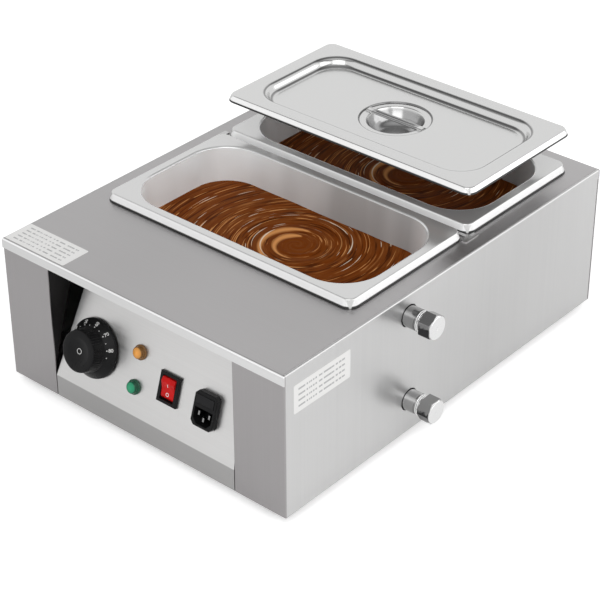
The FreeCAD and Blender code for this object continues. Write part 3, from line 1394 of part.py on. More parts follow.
def make_lid():
    """Folded rim, sloping recess, flat plateau and a round finger cup crossed by a strap."""
    body = new_piece("lid")
    wall = size.pan_sheet
    make_rim(body, size.lid_skirt)
    top_length = size.pan_length - 2 * size.lid_rim
    top_width = size.pan_width - 2 * size.lid_rim
    run = 2 * size.recess_run
    low_corner = size.recess_corner - size.recess_run / 2
    plateau = -size.recess_drop
    loft(body, [(as_size(0), top_length, top_width, size.recess_corner),
                (plateau - wall, top_length - run, top_width - run, low_corner)])
    edge = 2 * wall
    loft(body, [(as_size(0), top_length - edge, top_width - edge, size.recess_corner - wall),
                (plateau, top_length - run - edge, top_width - run - edge, low_corner - wall)], cut=True)
    ring = plateau - size.ring_drop
    floor = ring - size.cup_depth
    cup = sketch_on(body, "XZ_Plane")
    polygon(cup, [(as_size(0), plateau), (size.cup_ring + wall, plateau), (size.cup_ring + wall, ring - wall),
                  (size.cup_radius + wall, ring - wall), (size.cup_radius * 0.72 + wall, floor - wall),
                  (as_size(0), floor - wall)])
    turn_about(body, cup, "V_Axis")
    bowl = sketch_on(body, "XZ_Plane")
    polygon(bowl, [(as_size(0), plateau + 1), (size.cup_ring, plateau + 1), (size.cup_ring, ring),
                   (size.cup_radius, ring), (size.cup_radius * 0.72, floor), (as_size(0), floor)])
    last = turn_about(body, bowl, "V_Axis", cut=True)
    last = round_edges(body, last, size.cup_fold - wall, flat_at(floor))
    round_edges(body, last, size.cup_fold, flat_at(floor - wall))
    strap = new_piece("lid_handle")
    bar = sketch_on(strap, "XY_Plane", ring)
    centred_rectangle(bar, 2 * size.handle_reach, size.handle_width)
    last = pad(strap, bar, size.ring_drop)
    groove = sketch_on(strap, "XY_Plane", plateau)
    centred_rectangle(groove, 1.5 * size.cup_radius, size.handle_groove)
    pocket(strap, groove, size.ring_drop * 0.4)
    for piece in (body, strap):
        place(piece, 0, pan_group + pan_step, rim_top + size.lid_skirt + size.lid_lift)


make_top_deck()
make_side_panel("left_side_panel", -1, False)
make_side_panel("right_side_panel", 1, True)
make_gusset("left_gusset", -1)
make_gusset("right_gusset", 1)
make_rear_panel()
make_rear_screws()
make_base_plate()
make_feet()
make_control_panel()
make_bath()
make_divider_bar()
make_heater()
make_thermostat()
make_port("overflow", overflow_line, 30)
make_port("drain", drain_line, 0)
make_knob()
make_lamp("orange", size.orange_rise)
make_lamp("green", size.green_rise)
make_switch()
make_inlet()
make_terminal_block()
make_pan("front", -1)
make_pan("rear", 1)
make_lid()
document.recompute()

for item in document.Objects:
    if "Invalid" in item.State or "Error" in item.State:
        raise RuntimeError(f"{item.Label} did not build: {item.State}")

for made in made_features:
    base = made.BaseFeature
    if base is None:
        continue
    change = made.Shape.Volume - base.Shape.Volume
    cuts = made.TypeId.split("::")[1] in ("Pocket", "Groove", "SubtractiveLoft", "Chamfer")
    if abs(change) < 1e-4 or (cuts and change > 0):
        raise RuntimeError(f"{made.Name} changes nothing")

os.makedirs("parts", exist_ok=True)
for piece in pieces:
    shape = piece.Shape
    if shape.isNull() or not shape.isValid() or not shape.Solids:
        raise RuntimeError(f"{piece.Label} has no valid solid")
    shape.exportStep(f"parts/{piece.Label}.step")
    box = shape.BoundBox
    print(f"{piece.Label:22s} {len(shape.Solids)} solids {shape.Volume:12.1f} mm3 "
          f"x {box.XMin:8.2f} {box.XMax:8.2f} y {box.YMin:8.2f} {box.YMax:8.2f} "
          f"z {box.ZMin:7.2f} {box.ZMax:7.2f}")
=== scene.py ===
import math

import bmesh
import bpy
from bpy.props import FloatProperty, FloatVectorProperty, IntProperty, PointerProperty
from mathutils import Matrix, Vector


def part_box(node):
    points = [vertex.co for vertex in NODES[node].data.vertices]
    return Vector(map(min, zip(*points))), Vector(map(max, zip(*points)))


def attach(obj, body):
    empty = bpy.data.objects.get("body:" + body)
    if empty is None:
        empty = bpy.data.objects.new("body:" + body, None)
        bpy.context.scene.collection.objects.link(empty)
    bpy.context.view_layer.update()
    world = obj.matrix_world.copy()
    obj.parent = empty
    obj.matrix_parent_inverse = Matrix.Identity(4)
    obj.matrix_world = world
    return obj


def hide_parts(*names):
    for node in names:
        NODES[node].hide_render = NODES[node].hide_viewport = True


bl_info = {
    "name": "Chocolate melter",
    "version": (1, 0, 0),
    "blender": (4, 5, 0),
    "location": "3D View > Sidebar > Melter",
    "description": "Pieces and finishes of a twin-pan chocolate melter",
    "category": "Object",
}

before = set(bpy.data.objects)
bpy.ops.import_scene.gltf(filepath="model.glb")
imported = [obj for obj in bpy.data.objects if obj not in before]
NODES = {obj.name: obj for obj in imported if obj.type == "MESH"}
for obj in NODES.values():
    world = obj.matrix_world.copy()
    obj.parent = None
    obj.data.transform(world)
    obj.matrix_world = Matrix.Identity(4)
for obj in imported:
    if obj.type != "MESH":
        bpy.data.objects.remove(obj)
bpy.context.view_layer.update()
DECK_LOW, DECK_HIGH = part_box("top_deck")
HOME = Vector(((DECK_LOW.x + DECK_HIGH.x) / 2, (DECK_LOW.y + DECK_HIGH.y) / 2, 0))
DECK = DECK_HIGH.z
FOLD_LINE = Vector((HOME.x, DECK_LOW.y + 0.001, 0.0345))
SLOPE = math.radians(18)
PAN_LENGTH = 325.0
PAN_WIDTH = 176.0
SHEET = 0.8
RIM_FOLD = 1.6
RIM_LEAN = 2.5
HALF_WIDTH = 185
CAMERA_ANGLES = (41.033, 32.557, -0.281)
CAMERA_TARGET = (0.030993, -0.050872, 0.09)
CAMERA_DISTANCE = 1.965506
FOCAL_LENGTH = 116.753


def measure(name, description, default):
    return FloatProperty(name=name, description=description, default=default, unit="LENGTH")


def tint(name, description, default):
    return FloatVectorProperty(name=name, description=description, default=default, subtype="COLOR")


class MelterSizes(bpy.types.PropertyGroup):
    knob_notches: IntProperty(
        name="Knob notches", description="Notches round the knob's grip", default=48, min=12, max=96)
    dial_text: measure("Dial figures", "Height of the dial's figures", 0.0034)
    relief: measure("Swirl relief", "Height of the swirl in the chocolate", 0.0011)
    thread_pitch: measure("Thread pitch", "Pitch of the half-inch port threads", 0.001814)
    label_thickness: measure("Label thickness", "Thickness of the two bare labels", 0.00015)
    floor_size: measure("Floor", "Side of the pale floor", 14.0)


class MelterColours(bpy.types.PropertyGroup):
    deck: tint("Deck", "Brushed steel of the deck", (0.46, 0.45, 0.452))
    # The lip tone is painted light: the deck's steel made lighter for how light falls on the folded lip.
    lip_painted_light: tint("Lips", "Brushed steel of the deck's folded lips", (0.72, 0.72, 0.72))
    # The cheek tone is painted shade: the side's steel made darker where it turns to face the front.
    cheek_painted_shade: tint("Cheeks", "Brushed steel of the front cheeks", (0.37, 0.357, 0.36))
    side: tint("Sides", "Brushed steel of the side walls", (0.6, 0.598, 0.596))
    panel: tint("Control panel", "Brushed steel of the control panel", (0.65, 0.645, 0.64))
    # The band tone is painted shade: the panel's steel made darker on the upright strip below the fold.
    band: tint("Band", "Brushed steel below the control panel", (0.42, 0.415, 0.412))
    pan: tint("Pans and lid", "Polished steel", (0.66, 0.66, 0.656))
    chrome: tint("Chrome", "Plated ports and screws", (0.62, 0.62, 0.62))
    # The gusset tone is a painted dark reflection: steel gussets made near-black for the dark they mirror.
    paint: tint("Gusset", "Dark paint of the gussets", (0.016, 0.015, 0.015))
    black: tint("Black plastic", "Knob, bezel and inlet", (0.009, 0.009, 0.0095))
    rubber: tint("Rubber", "Feet, seals and washers", (0.014, 0.014, 0.014))
    brass: tint("Brass", "Contacts and blades", (0.72, 0.5, 0.2))
    copper: tint("Copper", "Capillary and bulb", (0.72, 0.34, 0.2))
    rocker: tint("Rocker", "Red rocker", (0.55, 0.008, 0.008))
    orange: tint("Orange lamp", "Upper lamp", (0.68, 0.3, 0.06))
    green: tint("Green lamp", "Lower lamp", (0.012, 0.27, 0.13))
    cocoa: tint("Chocolate", "Body of the chocolate", (0.148, 0.031, 0.002))
    caramel: tint("Caramel", "Light streaks of the chocolate", (0.54, 0.24, 0.08))


def sizes():
    return bpy.context.scene.melter_sizes


def colours():
    return bpy.context.scene.melter_colours


# Modelling helpers, sizes in millimetres


def clear_selection():
    active = bpy.context.view_layer.objects.active
    if active is not None and active.mode != "OBJECT":
        bpy.ops.object.mode_set(mode="OBJECT")
    bpy.ops.object.select_all(action="DESELECT")


def begin_piece(name):
    """An empty piece at the origin, left in edit mode."""
    clear_selection()
    bpy.ops.mesh.primitive_plane_add(size=0.01, location=(0, 0, 0))
    piece = bpy.context.object
    piece.name = name
    piece.data.name = name
    edit_all()
    bpy.ops.mesh.delete(type="VERT")
    bpy.ops.mesh.select_mode(type="VERT")
    return piece


def end_piece(piece, angle=35):
    """Back to object mode, with faces smooth except across sharp edges."""
    bpy.ops.object.mode_set(mode="OBJECT")
    if "ring" in piece.data.attributes:
        piece.data.attributes.remove(piece.data.attributes["ring"])
    smooth(piece, angle)
    return piece


def only(piece):
    clear_selection()
    piece.select_set(True)
    bpy.context.view_layer.objects.active = piece


def smooth(piece, angle):
    only(piece)
    bpy.ops.object.shade_smooth_by_angle(angle=math.radians(angle))


def edit_all():
    """Edit mode with everything selected."""
    bpy.ops.object.mode_set(mode="EDIT")
    bpy.ops.mesh.select_all(action="SELECT")


def face_out():
    """Turns the faces of everything outwards."""
    bpy.ops.mesh.select_all(action="SELECT")
    bpy.ops.mesh.normals_make_consistent(inside=False)


def draw_line(points):
    """A line through points in millimetres, drawn point by point."""
    bpy.ops.mesh.primitive_plane_add(size=0.0001, location=tuple(value / 1000 for value in points[0]))
    bpy.ops.mesh.merge(type="CENTER")
    for point, following in zip(points, points[1:]):
        step = tuple((after - before) / 1000 for before, after in zip(point, following))
        bpy.ops.mesh.extrude_vertices_move(TRANSFORM_OT_translate={"value": step})


def over_middle(low, high, height):
    """The middle of a box in plan, at a height."""
    return Vector(((low.x + high.x) / 2, (low.y + high.y) / 2, height))


def modify(piece, kind, **settings):
    """Adds one modifier and applies it."""
    only(piece)
    bpy.ops.object.modifier_add(type=kind)
    modifier = piece.modifiers[-1]
    for name, value in settings.items():
        setattr(modifier, name, value)
    bpy.ops.object.modifier_apply(modifier=modifier.name)


def trim(piece, cutter):
    """Keeps what lies inside the cutter, and removes the cutter."""
    modify(piece, "BOOLEAN", object=cutter, operation="INTERSECT", solver="EXACT")
    only(cutter)
    bpy.ops.object.delete()


def apply_place(piece, matrix=None):
    only(piece)
    if matrix is not None:
        piece.matrix_world = matrix
    bpy.context.view_layer.update()
    bpy.ops.object.transform_apply(location=True, rotation=True, scale=True)


def panel_matrix(across, rise, out=0.0):
    """Sets a piece on the sloping panel, its own Z along the panel's outward normal."""
    up = Vector((0, math.sin(SLOPE), math.cos(SLOPE)))
    normal = Vector((0, -math.cos(SLOPE), math.sin(SLOPE)))
    point = FOLD_LINE + Vector((across, 0, 0)) / 1000 + up * rise / 1000 + normal * out / 1000
    return Matrix.Translation(point) @ Matrix.Rotation(math.radians(90) - SLOPE, 4, "X")


def mark_ring(piece):
    """Numbers the points added last, and returns their number."""
    mesh = bmesh.from_edit_mesh(piece.data)
    ring = mesh.verts.layers.int.get("ring")
    if ring is None:
        ring = mesh.verts.layers.int.new("ring")
    number = 1 + max((vert[ring] for vert in mesh.verts), default=0)
    for vert in mesh.verts:
        if vert[ring] == 0:
            vert[ring] = number
    bmesh.update_edit_mesh(piece.data)
    return number


def select_rings(piece, *numbers):
    bpy.ops.mesh.select_mode(type="EDGE")
    bpy.ops.mesh.select_all(action="DESELECT")
    mesh = bmesh.from_edit_mesh(piece.data)
    ring = mesh.verts.layers.int["ring"]
    for edge in mesh.edges:
        first, second = edge.verts[0][ring], edge.verts[1][ring]
        if first == second and first in numbers:
            edge.select_set(True)
    mesh.select_flush_mode()
    bmesh.update_edit_mesh(piece.data)


def rounded_ring(piece, length, width, corner, height, middle, steps=11, cuts=0):
    """A loop with rounded corners about a middle point."""
    bpy.ops.mesh.select_mode(type="VERT")
    bpy.ops.mesh.select_all(action="DESELECT")
    place = (middle.x, middle.y, middle.z + height / 1000)
    bpy.ops.mesh.primitive_plane_add(size=1, location=place)
    bpy.ops.transform.resize(value=(length / 1000, width / 1000, 1), center_override=place)
    bpy.ops.mesh.bevel(offset=corner / 1000, segments=steps, affect="VERTICES", clamp_overlap=False)
    if cuts:
        bpy.ops.mesh.select_mode(type="EDGE")
        mesh = bmesh.from_edit_mesh(piece.data)
        long_edge = 0.4 * min(length - 2 * corner, width - 2 * corner) / 1000
        for edge in mesh.edges:
            edge.select_set(edge.select and edge.calc_length() > long_edge)
        bmesh.update_edit_mesh(piece.data)
        bpy.ops.mesh.subdivide(number_cuts=cuts)
        bpy.ops.mesh.select_mode(type="VERT")
    number = mark_ring(piece)
    select_rings(piece, number)
    bpy.ops.mesh.delete(type="ONLY_FACE")
    return number


def round_ring(piece, radius, height, middle, points):
    bpy.ops.mesh.select_mode(type="VERT")
    bpy.ops.mesh.select_all(action="DESELECT")
    bpy.ops.mesh.primitive_circle_add(vertices=points, radius=radius / 1000, fill_type="NOTHING",
                                      location=(middle.x, middle.y, middle.z + height / 1000))
    return mark_ring(piece)


def join_rings(piece, rings):
    for first, second in zip(rings, rings[1:]):
        select_rings(piece, first, second)
        bpy.ops.mesh.bridge_edge_loops()


def close_ring(piece, number):
    select_rings(piece, number)
    bpy.ops.mesh.edge_face_add()


def face_up(piece):
    """Recalculates the normals and turns the sheet over where its level faces look down."""
    bpy.ops.mesh.select_mode(type="FACE")
    face_out()
    mesh = bmesh.from_edit_mesh(piece.data)
    lean = sum(face.normal.z * face.calc_area() for face in mesh.faces)
    if lean < 0:
        bpy.ops.mesh.flip_normals()


def turned_piece(name, profile, steps=96, angle=35):
    """A profile of (radius, height) points spun about the piece's own Z axis."""
    piece = begin_piece(name)
    draw_line([(radius, 0, height) for radius, height in profile])
    bpy.ops.mesh.select_all(action="SELECT")
    bpy.ops.mesh.spin(steps=steps, angle=2 * math.pi, center=(0, 0, 0), axis=(0, 0, 1))
    bpy.ops.mesh.select_all(action="SELECT")
    bpy.ops.mesh.remove_doubles(threshold=0.00001)
    bpy.ops.mesh.normals_make_consistent(inside=False)
    return end_piece(piece, angle)


def ring_profile(inner, outer, low, high):
    return [(inner, low), (outer, low), (outer, high), (inner, high), (inner, low)]


def block(name, width, depth, height, bevel=0.0, segments=3):
    """A block on its own base, its edges rounded."""
    clear_selection()
    bpy.ops.mesh.primitive_cube_add(size=1, location=(0, 0, 0))
    piece = bpy.context.object
    piece.name = name
    piece.data.name = name
    edit_all()
    bpy.ops.transform.resize(value=(width / 1000, depth / 1000, height / 1000), center_override=(0, 0, 0))
    bpy.ops.transform.translate(value=(0, 0, height / 2000))
    if bevel:
        bpy.ops.mesh.bevel(offset=bevel / 1000, segments=segments, affect="EDGES")
    return end_piece(piece)


def join_pieces(name, pieces):
    only(pieces[0])
    for piece in pieces[1:]:
        piece.select_set(True)
    if len(pieces) > 1:
        bpy.ops.object.join()
    joined = bpy.context.object
    joined.name = name
    joined.data.name = name
    return joined


def finish_piece(piece, finish, body, slot, *replaced):
    """Gives a finished piece its finish and body, and hides the parts it stands for; slot is not used."""
    if piece.type != "MESH":
        raise RuntimeError(f"{piece.name} is not a mesh")
    piece.data.materials.clear()
    piece.data.materials.append(finish)
    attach(piece, body)
    if replaced:
        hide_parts(*replaced)


# Finishes


def neutral(value):
    return (value, value, value)


class Finish:
    """A node tree round one Principled shader, with short ways to add nodes."""

    def __init__(self, name, colour, roughness, metal=0.0):
        self.material = bpy.data.materials.new(name)
        self.material.use_nodes = True
        self.tree = self.material.node_tree
        self.tree.nodes.clear()
        output = self.add("ShaderNodeOutputMaterial")
        self.shader = self.add("ShaderNodeBsdfPrincipled")
        self.link(self.shader.outputs["BSDF"], output.inputs["Surface"])
        self.colour = (*colour, 1.0)
        self.shader.inputs["Base Color"].default_value = self.colour
        self.shader.inputs["Roughness"].default_value = roughness
        self.shader.inputs["Metallic"].default_value = metal
        self.coordinates = self.add("ShaderNodeTexCoord").outputs["Object"]

    def add(self, kind, **settings):
        node = self.tree.nodes.new(kind)
        for name, value in settings.items():
            setattr(node, name, value)
        return node

    def link(self, source, target):
        self.tree.links.new(source, target)

    def set(self, **values):
        for name, value in values.items():
            self.shader.inputs[name.replace("_", " ")].default_value = value

    def feed(self, name, source):
        """Links a value to one of the shader's inputs."""
        self.link(source, self.shader.inputs[name])

    def axes(self, place=None):
        """X, Y and Z of a place, by default in the object's own coordinates."""
        split = self.add("ShaderNodeSeparateXYZ")
        self.link(self.coordinates if place is None else place, split.inputs["Vector"])
        return split.outputs

    def mapped(self, scale=(1, 1, 1), location=(0, 0, 0), rotation=(0, 0, 0)):
        mapping = self.add("ShaderNodeMapping")
        mapping.inputs["Scale"].default_value = scale
        mapping.inputs["Location"].default_value = location
        mapping.inputs["Rotation"].default_value = rotation
        self.link(self.coordinates, mapping.inputs["Vector"])
        return mapping.outputs["Vector"]

    def noise(self, vector, scale=1.0, detail=3.0):
        texture = self.add("ShaderNodeTexNoise")
        texture.inputs["Scale"].default_value = scale
        texture.inputs["Detail"].default_value = detail
        texture.inputs["Roughness"].default_value = 0.55
        self.link(vector, texture.inputs["Vector"])
        return texture.outputs["Fac"]

    def ranged(self, value, low, high, start=0.3, end=0.7):
        """Maps a value from start..end to low..high."""
        node = self.add("ShaderNodeMapRange")
        node.inputs["From Min"].default_value = start
        node.inputs["From Max"].default_value = end
        node.inputs["To Min"].default_value = low
        node.inputs["To Max"].default_value = high
        self.link(value, node.inputs["Value"])
        return node.outputs["Result"]

    def rising(self, value, start, end):
        return self.ranged(value, 0.0, 1.0, start, end)

    def falling(self, value, start, end):
        return self.ranged(value, 1.0, 0.0, start, end)

    def math(self, operation, first, second=None, third=None):
        node = self.add("ShaderNodeMath", operation=operation)
        for index, value in enumerate((first, second, third)):
            if value is None:
                continue
            if isinstance(value, (int, float)):
                node.inputs[index].default_value = value
            else:
                self.link(value, node.inputs[index])
        return node.outputs["Value"]

    def times(self, first, second):
        return self.math("MULTIPLY", first, second)

    def apart(self, first, second):
        """How far two values lie apart."""
        return self.math("ABSOLUTE", self.math("SUBTRACT", first, second))

    def from_axis(self, place):
        """Distance of a place from the Z axis."""
        squares = [self.math("POWER", place[axis], 2.0) for axis in "XY"]
        return self.math("SQRT", self.math("ADD", *squares))

    def mixed(self, factor, first, second):
        node = self.add("ShaderNodeMix", data_type="RGBA")
        self.link(factor, node.inputs["Factor"])
        for index, value in ((6, first), (7, second)):
            if isinstance(value, tuple):
                node.inputs[index].default_value = value if len(value) == 4 else (*value, 1.0)
            else:
                self.link(value, node.inputs[index])
        return node.outputs[2]

    def shaded(self, value):
        """The finish's own colour times a varying value."""
        node = self.add("ShaderNodeVectorMath", operation="SCALE")
        node.inputs[0].default_value = self.colour[:3]
        self.link(value, node.inputs["Scale"])
        self.link(node.outputs["Vector"], self.shader.inputs["Base Color"])
        return node.outputs["Vector"]

    def bump(self, height, distance, strength=1.0):
        node = self.add("ShaderNodeBump")
        node.inputs["Distance"].default_value = distance
        node.inputs["Strength"].default_value = strength
        self.link(height, node.inputs["Height"])
        self.link(node.outputs["Normal"], self.shader.inputs["Normal"])


def brushed(name, colour, grain=(2, 300, 300), roughness=0.34, other=None, axis="Y", level=0.0,
            painted_fold=None):
    """Steel sheet with a fine straight grain and soft cloudiness; below a level, another tone that is
    painted light or shade, and a painted white highlight on the fold just above it."""
    finish = Finish(name, colour, roughness, 1.0)
    slow, cloud = (2.2, 2.6, 3.0), 0.07
    lines = finish.noise(finish.mapped(grain), 1.0, 3.0)
    fine = finish.noise(finish.mapped(tuple(3 * value for value in grain)), 1.0, 2.0)
    cloudy = finish.noise(finish.mapped(slow), 1.0, 2.0)
    tone = finish.times(finish.ranged(lines, 0.982, 1.018), finish.ranged(cloudy, 1 - cloud, 1 + cloud))
    tone = finish.times(tone, finish.ranged(fine, 0.99, 1.01))
    scaled = finish.shaded(tone)
    if other is not None:
        place = finish.axes()
        # Below the level, the second tone is painted light or shade, for how light falls on the turned face.
        above = finish.rising(place[axis], level - 0.0004, level + 0.0004)
        sheet = finish.mixed(above, (*other, 1.0), finish.colour)
        # From the level up to the fold's top: a painted white highlight along the bend.
        if painted_fold is not None:
            line = finish.falling(place[axis], painted_fold - 0.0003, painted_fold)
            sheet = finish.mixed(finish.times(above, line), sheet, neutral(1.0))
        finish.link(sheet, scaled.node.inputs[0])
    finish.feed("Roughness", finish.ranged(lines, roughness - 0.04, roughness + 0.05))
    finish.bump(lines, 0.00004, 0.5)
    return finish.material


def polished(name, colour, roughness=0.14, cloud=0.03):
    """Polished steel with faint smears."""
    finish = Finish(name, colour, roughness, 1.0)
    smears = finish.noise(finish.mapped((14, 14, 14)), 1.0, 3.0)
    finish.shaded(finish.ranged(smears, 1 - cloud, 1 + cloud, 0.2, 0.8))
    finish.feed("Roughness", finish.ranged(smears, roughness - 0.01, roughness + 0.02, 0.2, 0.8))
    return finish.material


def plated(name, height, end):
    """Bright plate: a pale end, and sides painted with reflections, dark at mid height, grey above and white
    below.
    """
    finish = Finish(name, (0.82, 0.82, 0.82), 0.16, 1.0)
    place = finish.axes()
    level = finish.math("SUBTRACT", place["Z"], height)
    blotches = finish.ranged(finish.noise(finish.mapped((240, 240, 240)), 1.0, 2.0), -0.002, 0.002)
    level = finish.math("ADD", level, blotches)
    # Painted reflections on the hexagon's flats: dark at mid height, grey above, white below.
    painted_reflection_bands = finish.mixed(finish.rising(level, 0.0015, 0.004), (0.05, 0.05, 0.052), (0.3, 0.3, 0.3))
    painted_reflection_bands = finish.mixed(finish.falling(level, -0.0115, -0.009), painted_reflection_bands, (0.9, 0.9, 0.9))
    side = finish.falling(place["X"], end - 0.0013, end - 0.0009)
    finish.feed("Base Color", finish.mixed(side, finish.colour, painted_reflection_bands))
    return finish.material


def pressed_steel(name, low, high, skirt, well=False):
    """Polished steel, brighter on the skirt as a painted highlight, with a painted shadow line at its foot,
    softly streaked with painted reflections in the well; on the lid, painted shade in the cup and painted
    dark lines round it and on the recess.
    """
    finish = Finish(name, tuple(colours().pan), 0.18, 1.0)
    half = (high - low) / 2
    middle = (low + high) / 2
    place = finish.axes(finish.mapped((1, 1, 1), (-middle.x, -middle.y, -high.z)))
    beyond = [finish.math("SUBTRACT", finish.math("ABSOLUTE", place[axis]), reach)
              for axis, reach in (("X", half.x), ("Y", half.y))]
    edge = finish.math("MAXIMUM", *beyond)
    height = place["Z"]
    # On the skirt, a painted highlight: near white and less metallic.
    side = finish.rising(edge, -0.0034, -0.0026)
    # At the skirt's foot, a painted shadow: a near-black line where it meets the deck.
    painted_shadow_line = finish.times(side, finish.falling(height, 0.0018 - skirt, 0.0024 - skirt))
    body = finish.mixed(side, finish.colour, neutral(0.95))
    body = finish.mixed(painted_shadow_line, body, neutral(0.03))
    metal = finish.math("MULTIPLY_ADD", side, -0.45, 1.0)
    if not well:
        radius = finish.from_axis(place)
        # Painted shade inside the finger cup.
        body = finish.mixed(finish.falling(radius, 0.0295, 0.0305), body, neutral(0.4))
        # A painted dark line round the cup's step, standing for its shade.
        line = finish.falling(finish.apart(radius, 0.0385), 0.0006, 0.0011)
        body = finish.mixed(line, body, neutral(0.2))
        # Painted dark reflections along the top roll and the foot of the recess's slopes.
        slope = finish.falling(edge, -0.016, -0.014)
        for level, reach in ((-0.0008, 0.0006), (-0.0078, 0.0009)):
            away = finish.apart(height, level)
            painted_fold = finish.ranged(away, 0.75, 0.0, 0.4 * reach, reach)
            body = finish.mixed(finish.times(painted_fold, slope), body, neutral(0.14))
    if well:
        # In the well, painted reflections on the walls: bright at the left end and the right corner, grey
        # between, with streaks.
        inner = finish.times(finish.falling(edge, -0.0135, -0.0125),
                             finish.falling(height, -0.0025, -0.0004))
        painted_streaks = finish.noise(finish.mapped((22, 22, 4)), 1.0, 1.0)
        grey = finish.times(finish.rising(place["X"], -0.11, 0.04),
                            finish.ranged(place["X"], 1.0, 0.1, 0.105, 0.13))
        grey = finish.math("ADD", grey, finish.ranged(painted_streaks, -0.16, 0.16, 0.35, 0.65))
        painted_wall_reflection = finish.mixed(finish.rising(grey, 0.0, 1.0), (0.96, 0.99, 1.0), (0.48, 0.495, 0.5))
        body = finish.mixed(inner, body, painted_wall_reflection)
        metal = finish.math("MULTIPLY_ADD", inner, -0.35, finish.math("SUBTRACT", metal, 0.3))
        finish.feed("Roughness", finish.math("MULTIPLY_ADD", inner, 0.2, 0.18))
    finish.feed("Base Color", body)
    finish.feed("Metallic", metal)
    return finish.material


def moulded(name, colour, roughness=0.4, grain=2600, depth=0.00003, tone=0.12):
    """Moulded plastic or rubber with a fine eroded grain."""
    finish = Finish(name, colour, roughness)
    finish.set(IOR=1.5, Specular_IOR_Level=0.12)
    fine = finish.noise(finish.mapped((grain, grain, grain)), 1.0, 2.0)
    broad = finish.noise(finish.mapped((60, 60, 60)), 1.0, 3.0)
    finish.shaded(finish.ranged(broad, 1 - tone, 1 + tone))
    finish.feed("Roughness", finish.ranged(broad, roughness - 0.05, roughness + 0.06))
    finish.bump(fine, depth, 0.35)
    return finish.material


def lens_finish(name, colour, across, rise):
    """Clear coloured plastic: brighter in the middle as a painted glow, dark round the rim, faint ribs."""
    finish = Finish(name, colour, 0.22)
    finish.set(IOR=1.49, Specular_IOR_Level=0.2, Coat_Weight=0.35, Coat_Roughness=0.06)
    back = panel_matrix(across, rise).inverted()
    turn = back.to_euler()
    local = finish.mapped((1, 1, 1), tuple(back.to_translation()), tuple(turn))
    place = finish.axes(local)
    radius = finish.from_axis(place)
    rim = finish.ranged(radius, 0.0, 0.85, 0.0049, 0.0058)
    # A painted glow: the lens's colour brighter towards the middle.
    glow = finish.ranged(radius, 1.4, 0.95, 0.0, 0.005)
    body = finish.add("ShaderNodeVectorMath", operation="SCALE")
    body.inputs[0].default_value = colour[:3]
    finish.link(glow, body.inputs["Scale"])
    dark = tuple(value * 0.16 for value in colour)
    finish.feed("Base Color", finish.mixed(rim, body.outputs["Vector"], dark))
    ribs = finish.math("SINE", finish.times(radius, 6500.0))
    finish.bump(ribs, 0.00006, 0.5)
    return finish.material


def label_finish(name, low, high, rows, along, down):
    """White film with faint grey ruled lines in place of its print."""
    finish = Finish(name, (0.78, 0.775, 0.765), 0.5)
    place = finish.axes()
    across = finish.rising(place["XYZ"[along]], low[along], high[along])
    lines = finish.ranged(place["XYZ"[down]], 0.0, float(rows), low[down], high[down])
    wave = finish.math("PINGPONG", lines, 0.5)
    stroke = finish.math("LESS_THAN", wave, 0.16)
    inside = finish.times(finish.math("GREATER_THAN", across, 0.08),
                          finish.math("LESS_THAN", across, 0.9))
    margin = finish.times(finish.math("GREATER_THAN", lines, 0.4),
                          finish.math("LESS_THAN", lines, rows - 0.4))
    scale = [1.0, 1.0, 1.0]
    scale[along] = 420.0
    breaks = finish.noise(finish.mapped(tuple(scale)), 1.0, 1.0)
    wear = finish.rising(breaks, 0.4, 0.5)
    factor = finish.times(finish.times(stroke, inside), finish.times(margin, wear))
    factor = finish.times(factor, 0.62)
    finish.feed("Base Color", finish.mixed(factor, (0.78, 0.775, 0.765), (0.2, 0.2, 0.21)))
    finish.bump(finish.noise(finish.mapped((900, 900, 900))), 0.00002, 0.3)
    return finish.material


# Caramel arms of a stirred pan: start and end angle in degrees, start and end radius and
# half width in millimetres, and strength; a strength of 0 draws a painted white glint instead.
ARMS = (
    (108, 302, 17.0, 26.0, 5.6, 0.95),
    (98, 328, 28.5, 44.0, 5.2, 0.9),
    (165, 262, 37.0, 36.0, 1.3, 0.0),
    (170, 225, 46.0, 45.0, 0.9, 0.0),
    (15, 105, 44.0, 50.0, 1.0, 0.6),
    (-5, 58, 22.0, 24.5, 1.0, 0.6),
    (-20, 52, 33.0, 36.0, 0.9, 0.6),
    (205, 290, 53.0, 58.0, 1.0, 0.7),
    (185, 250, 62.0, 66.0, 0.9, 0.6),
    (20, 62, 54.0, 59.0, 1.1, 0.0),
)


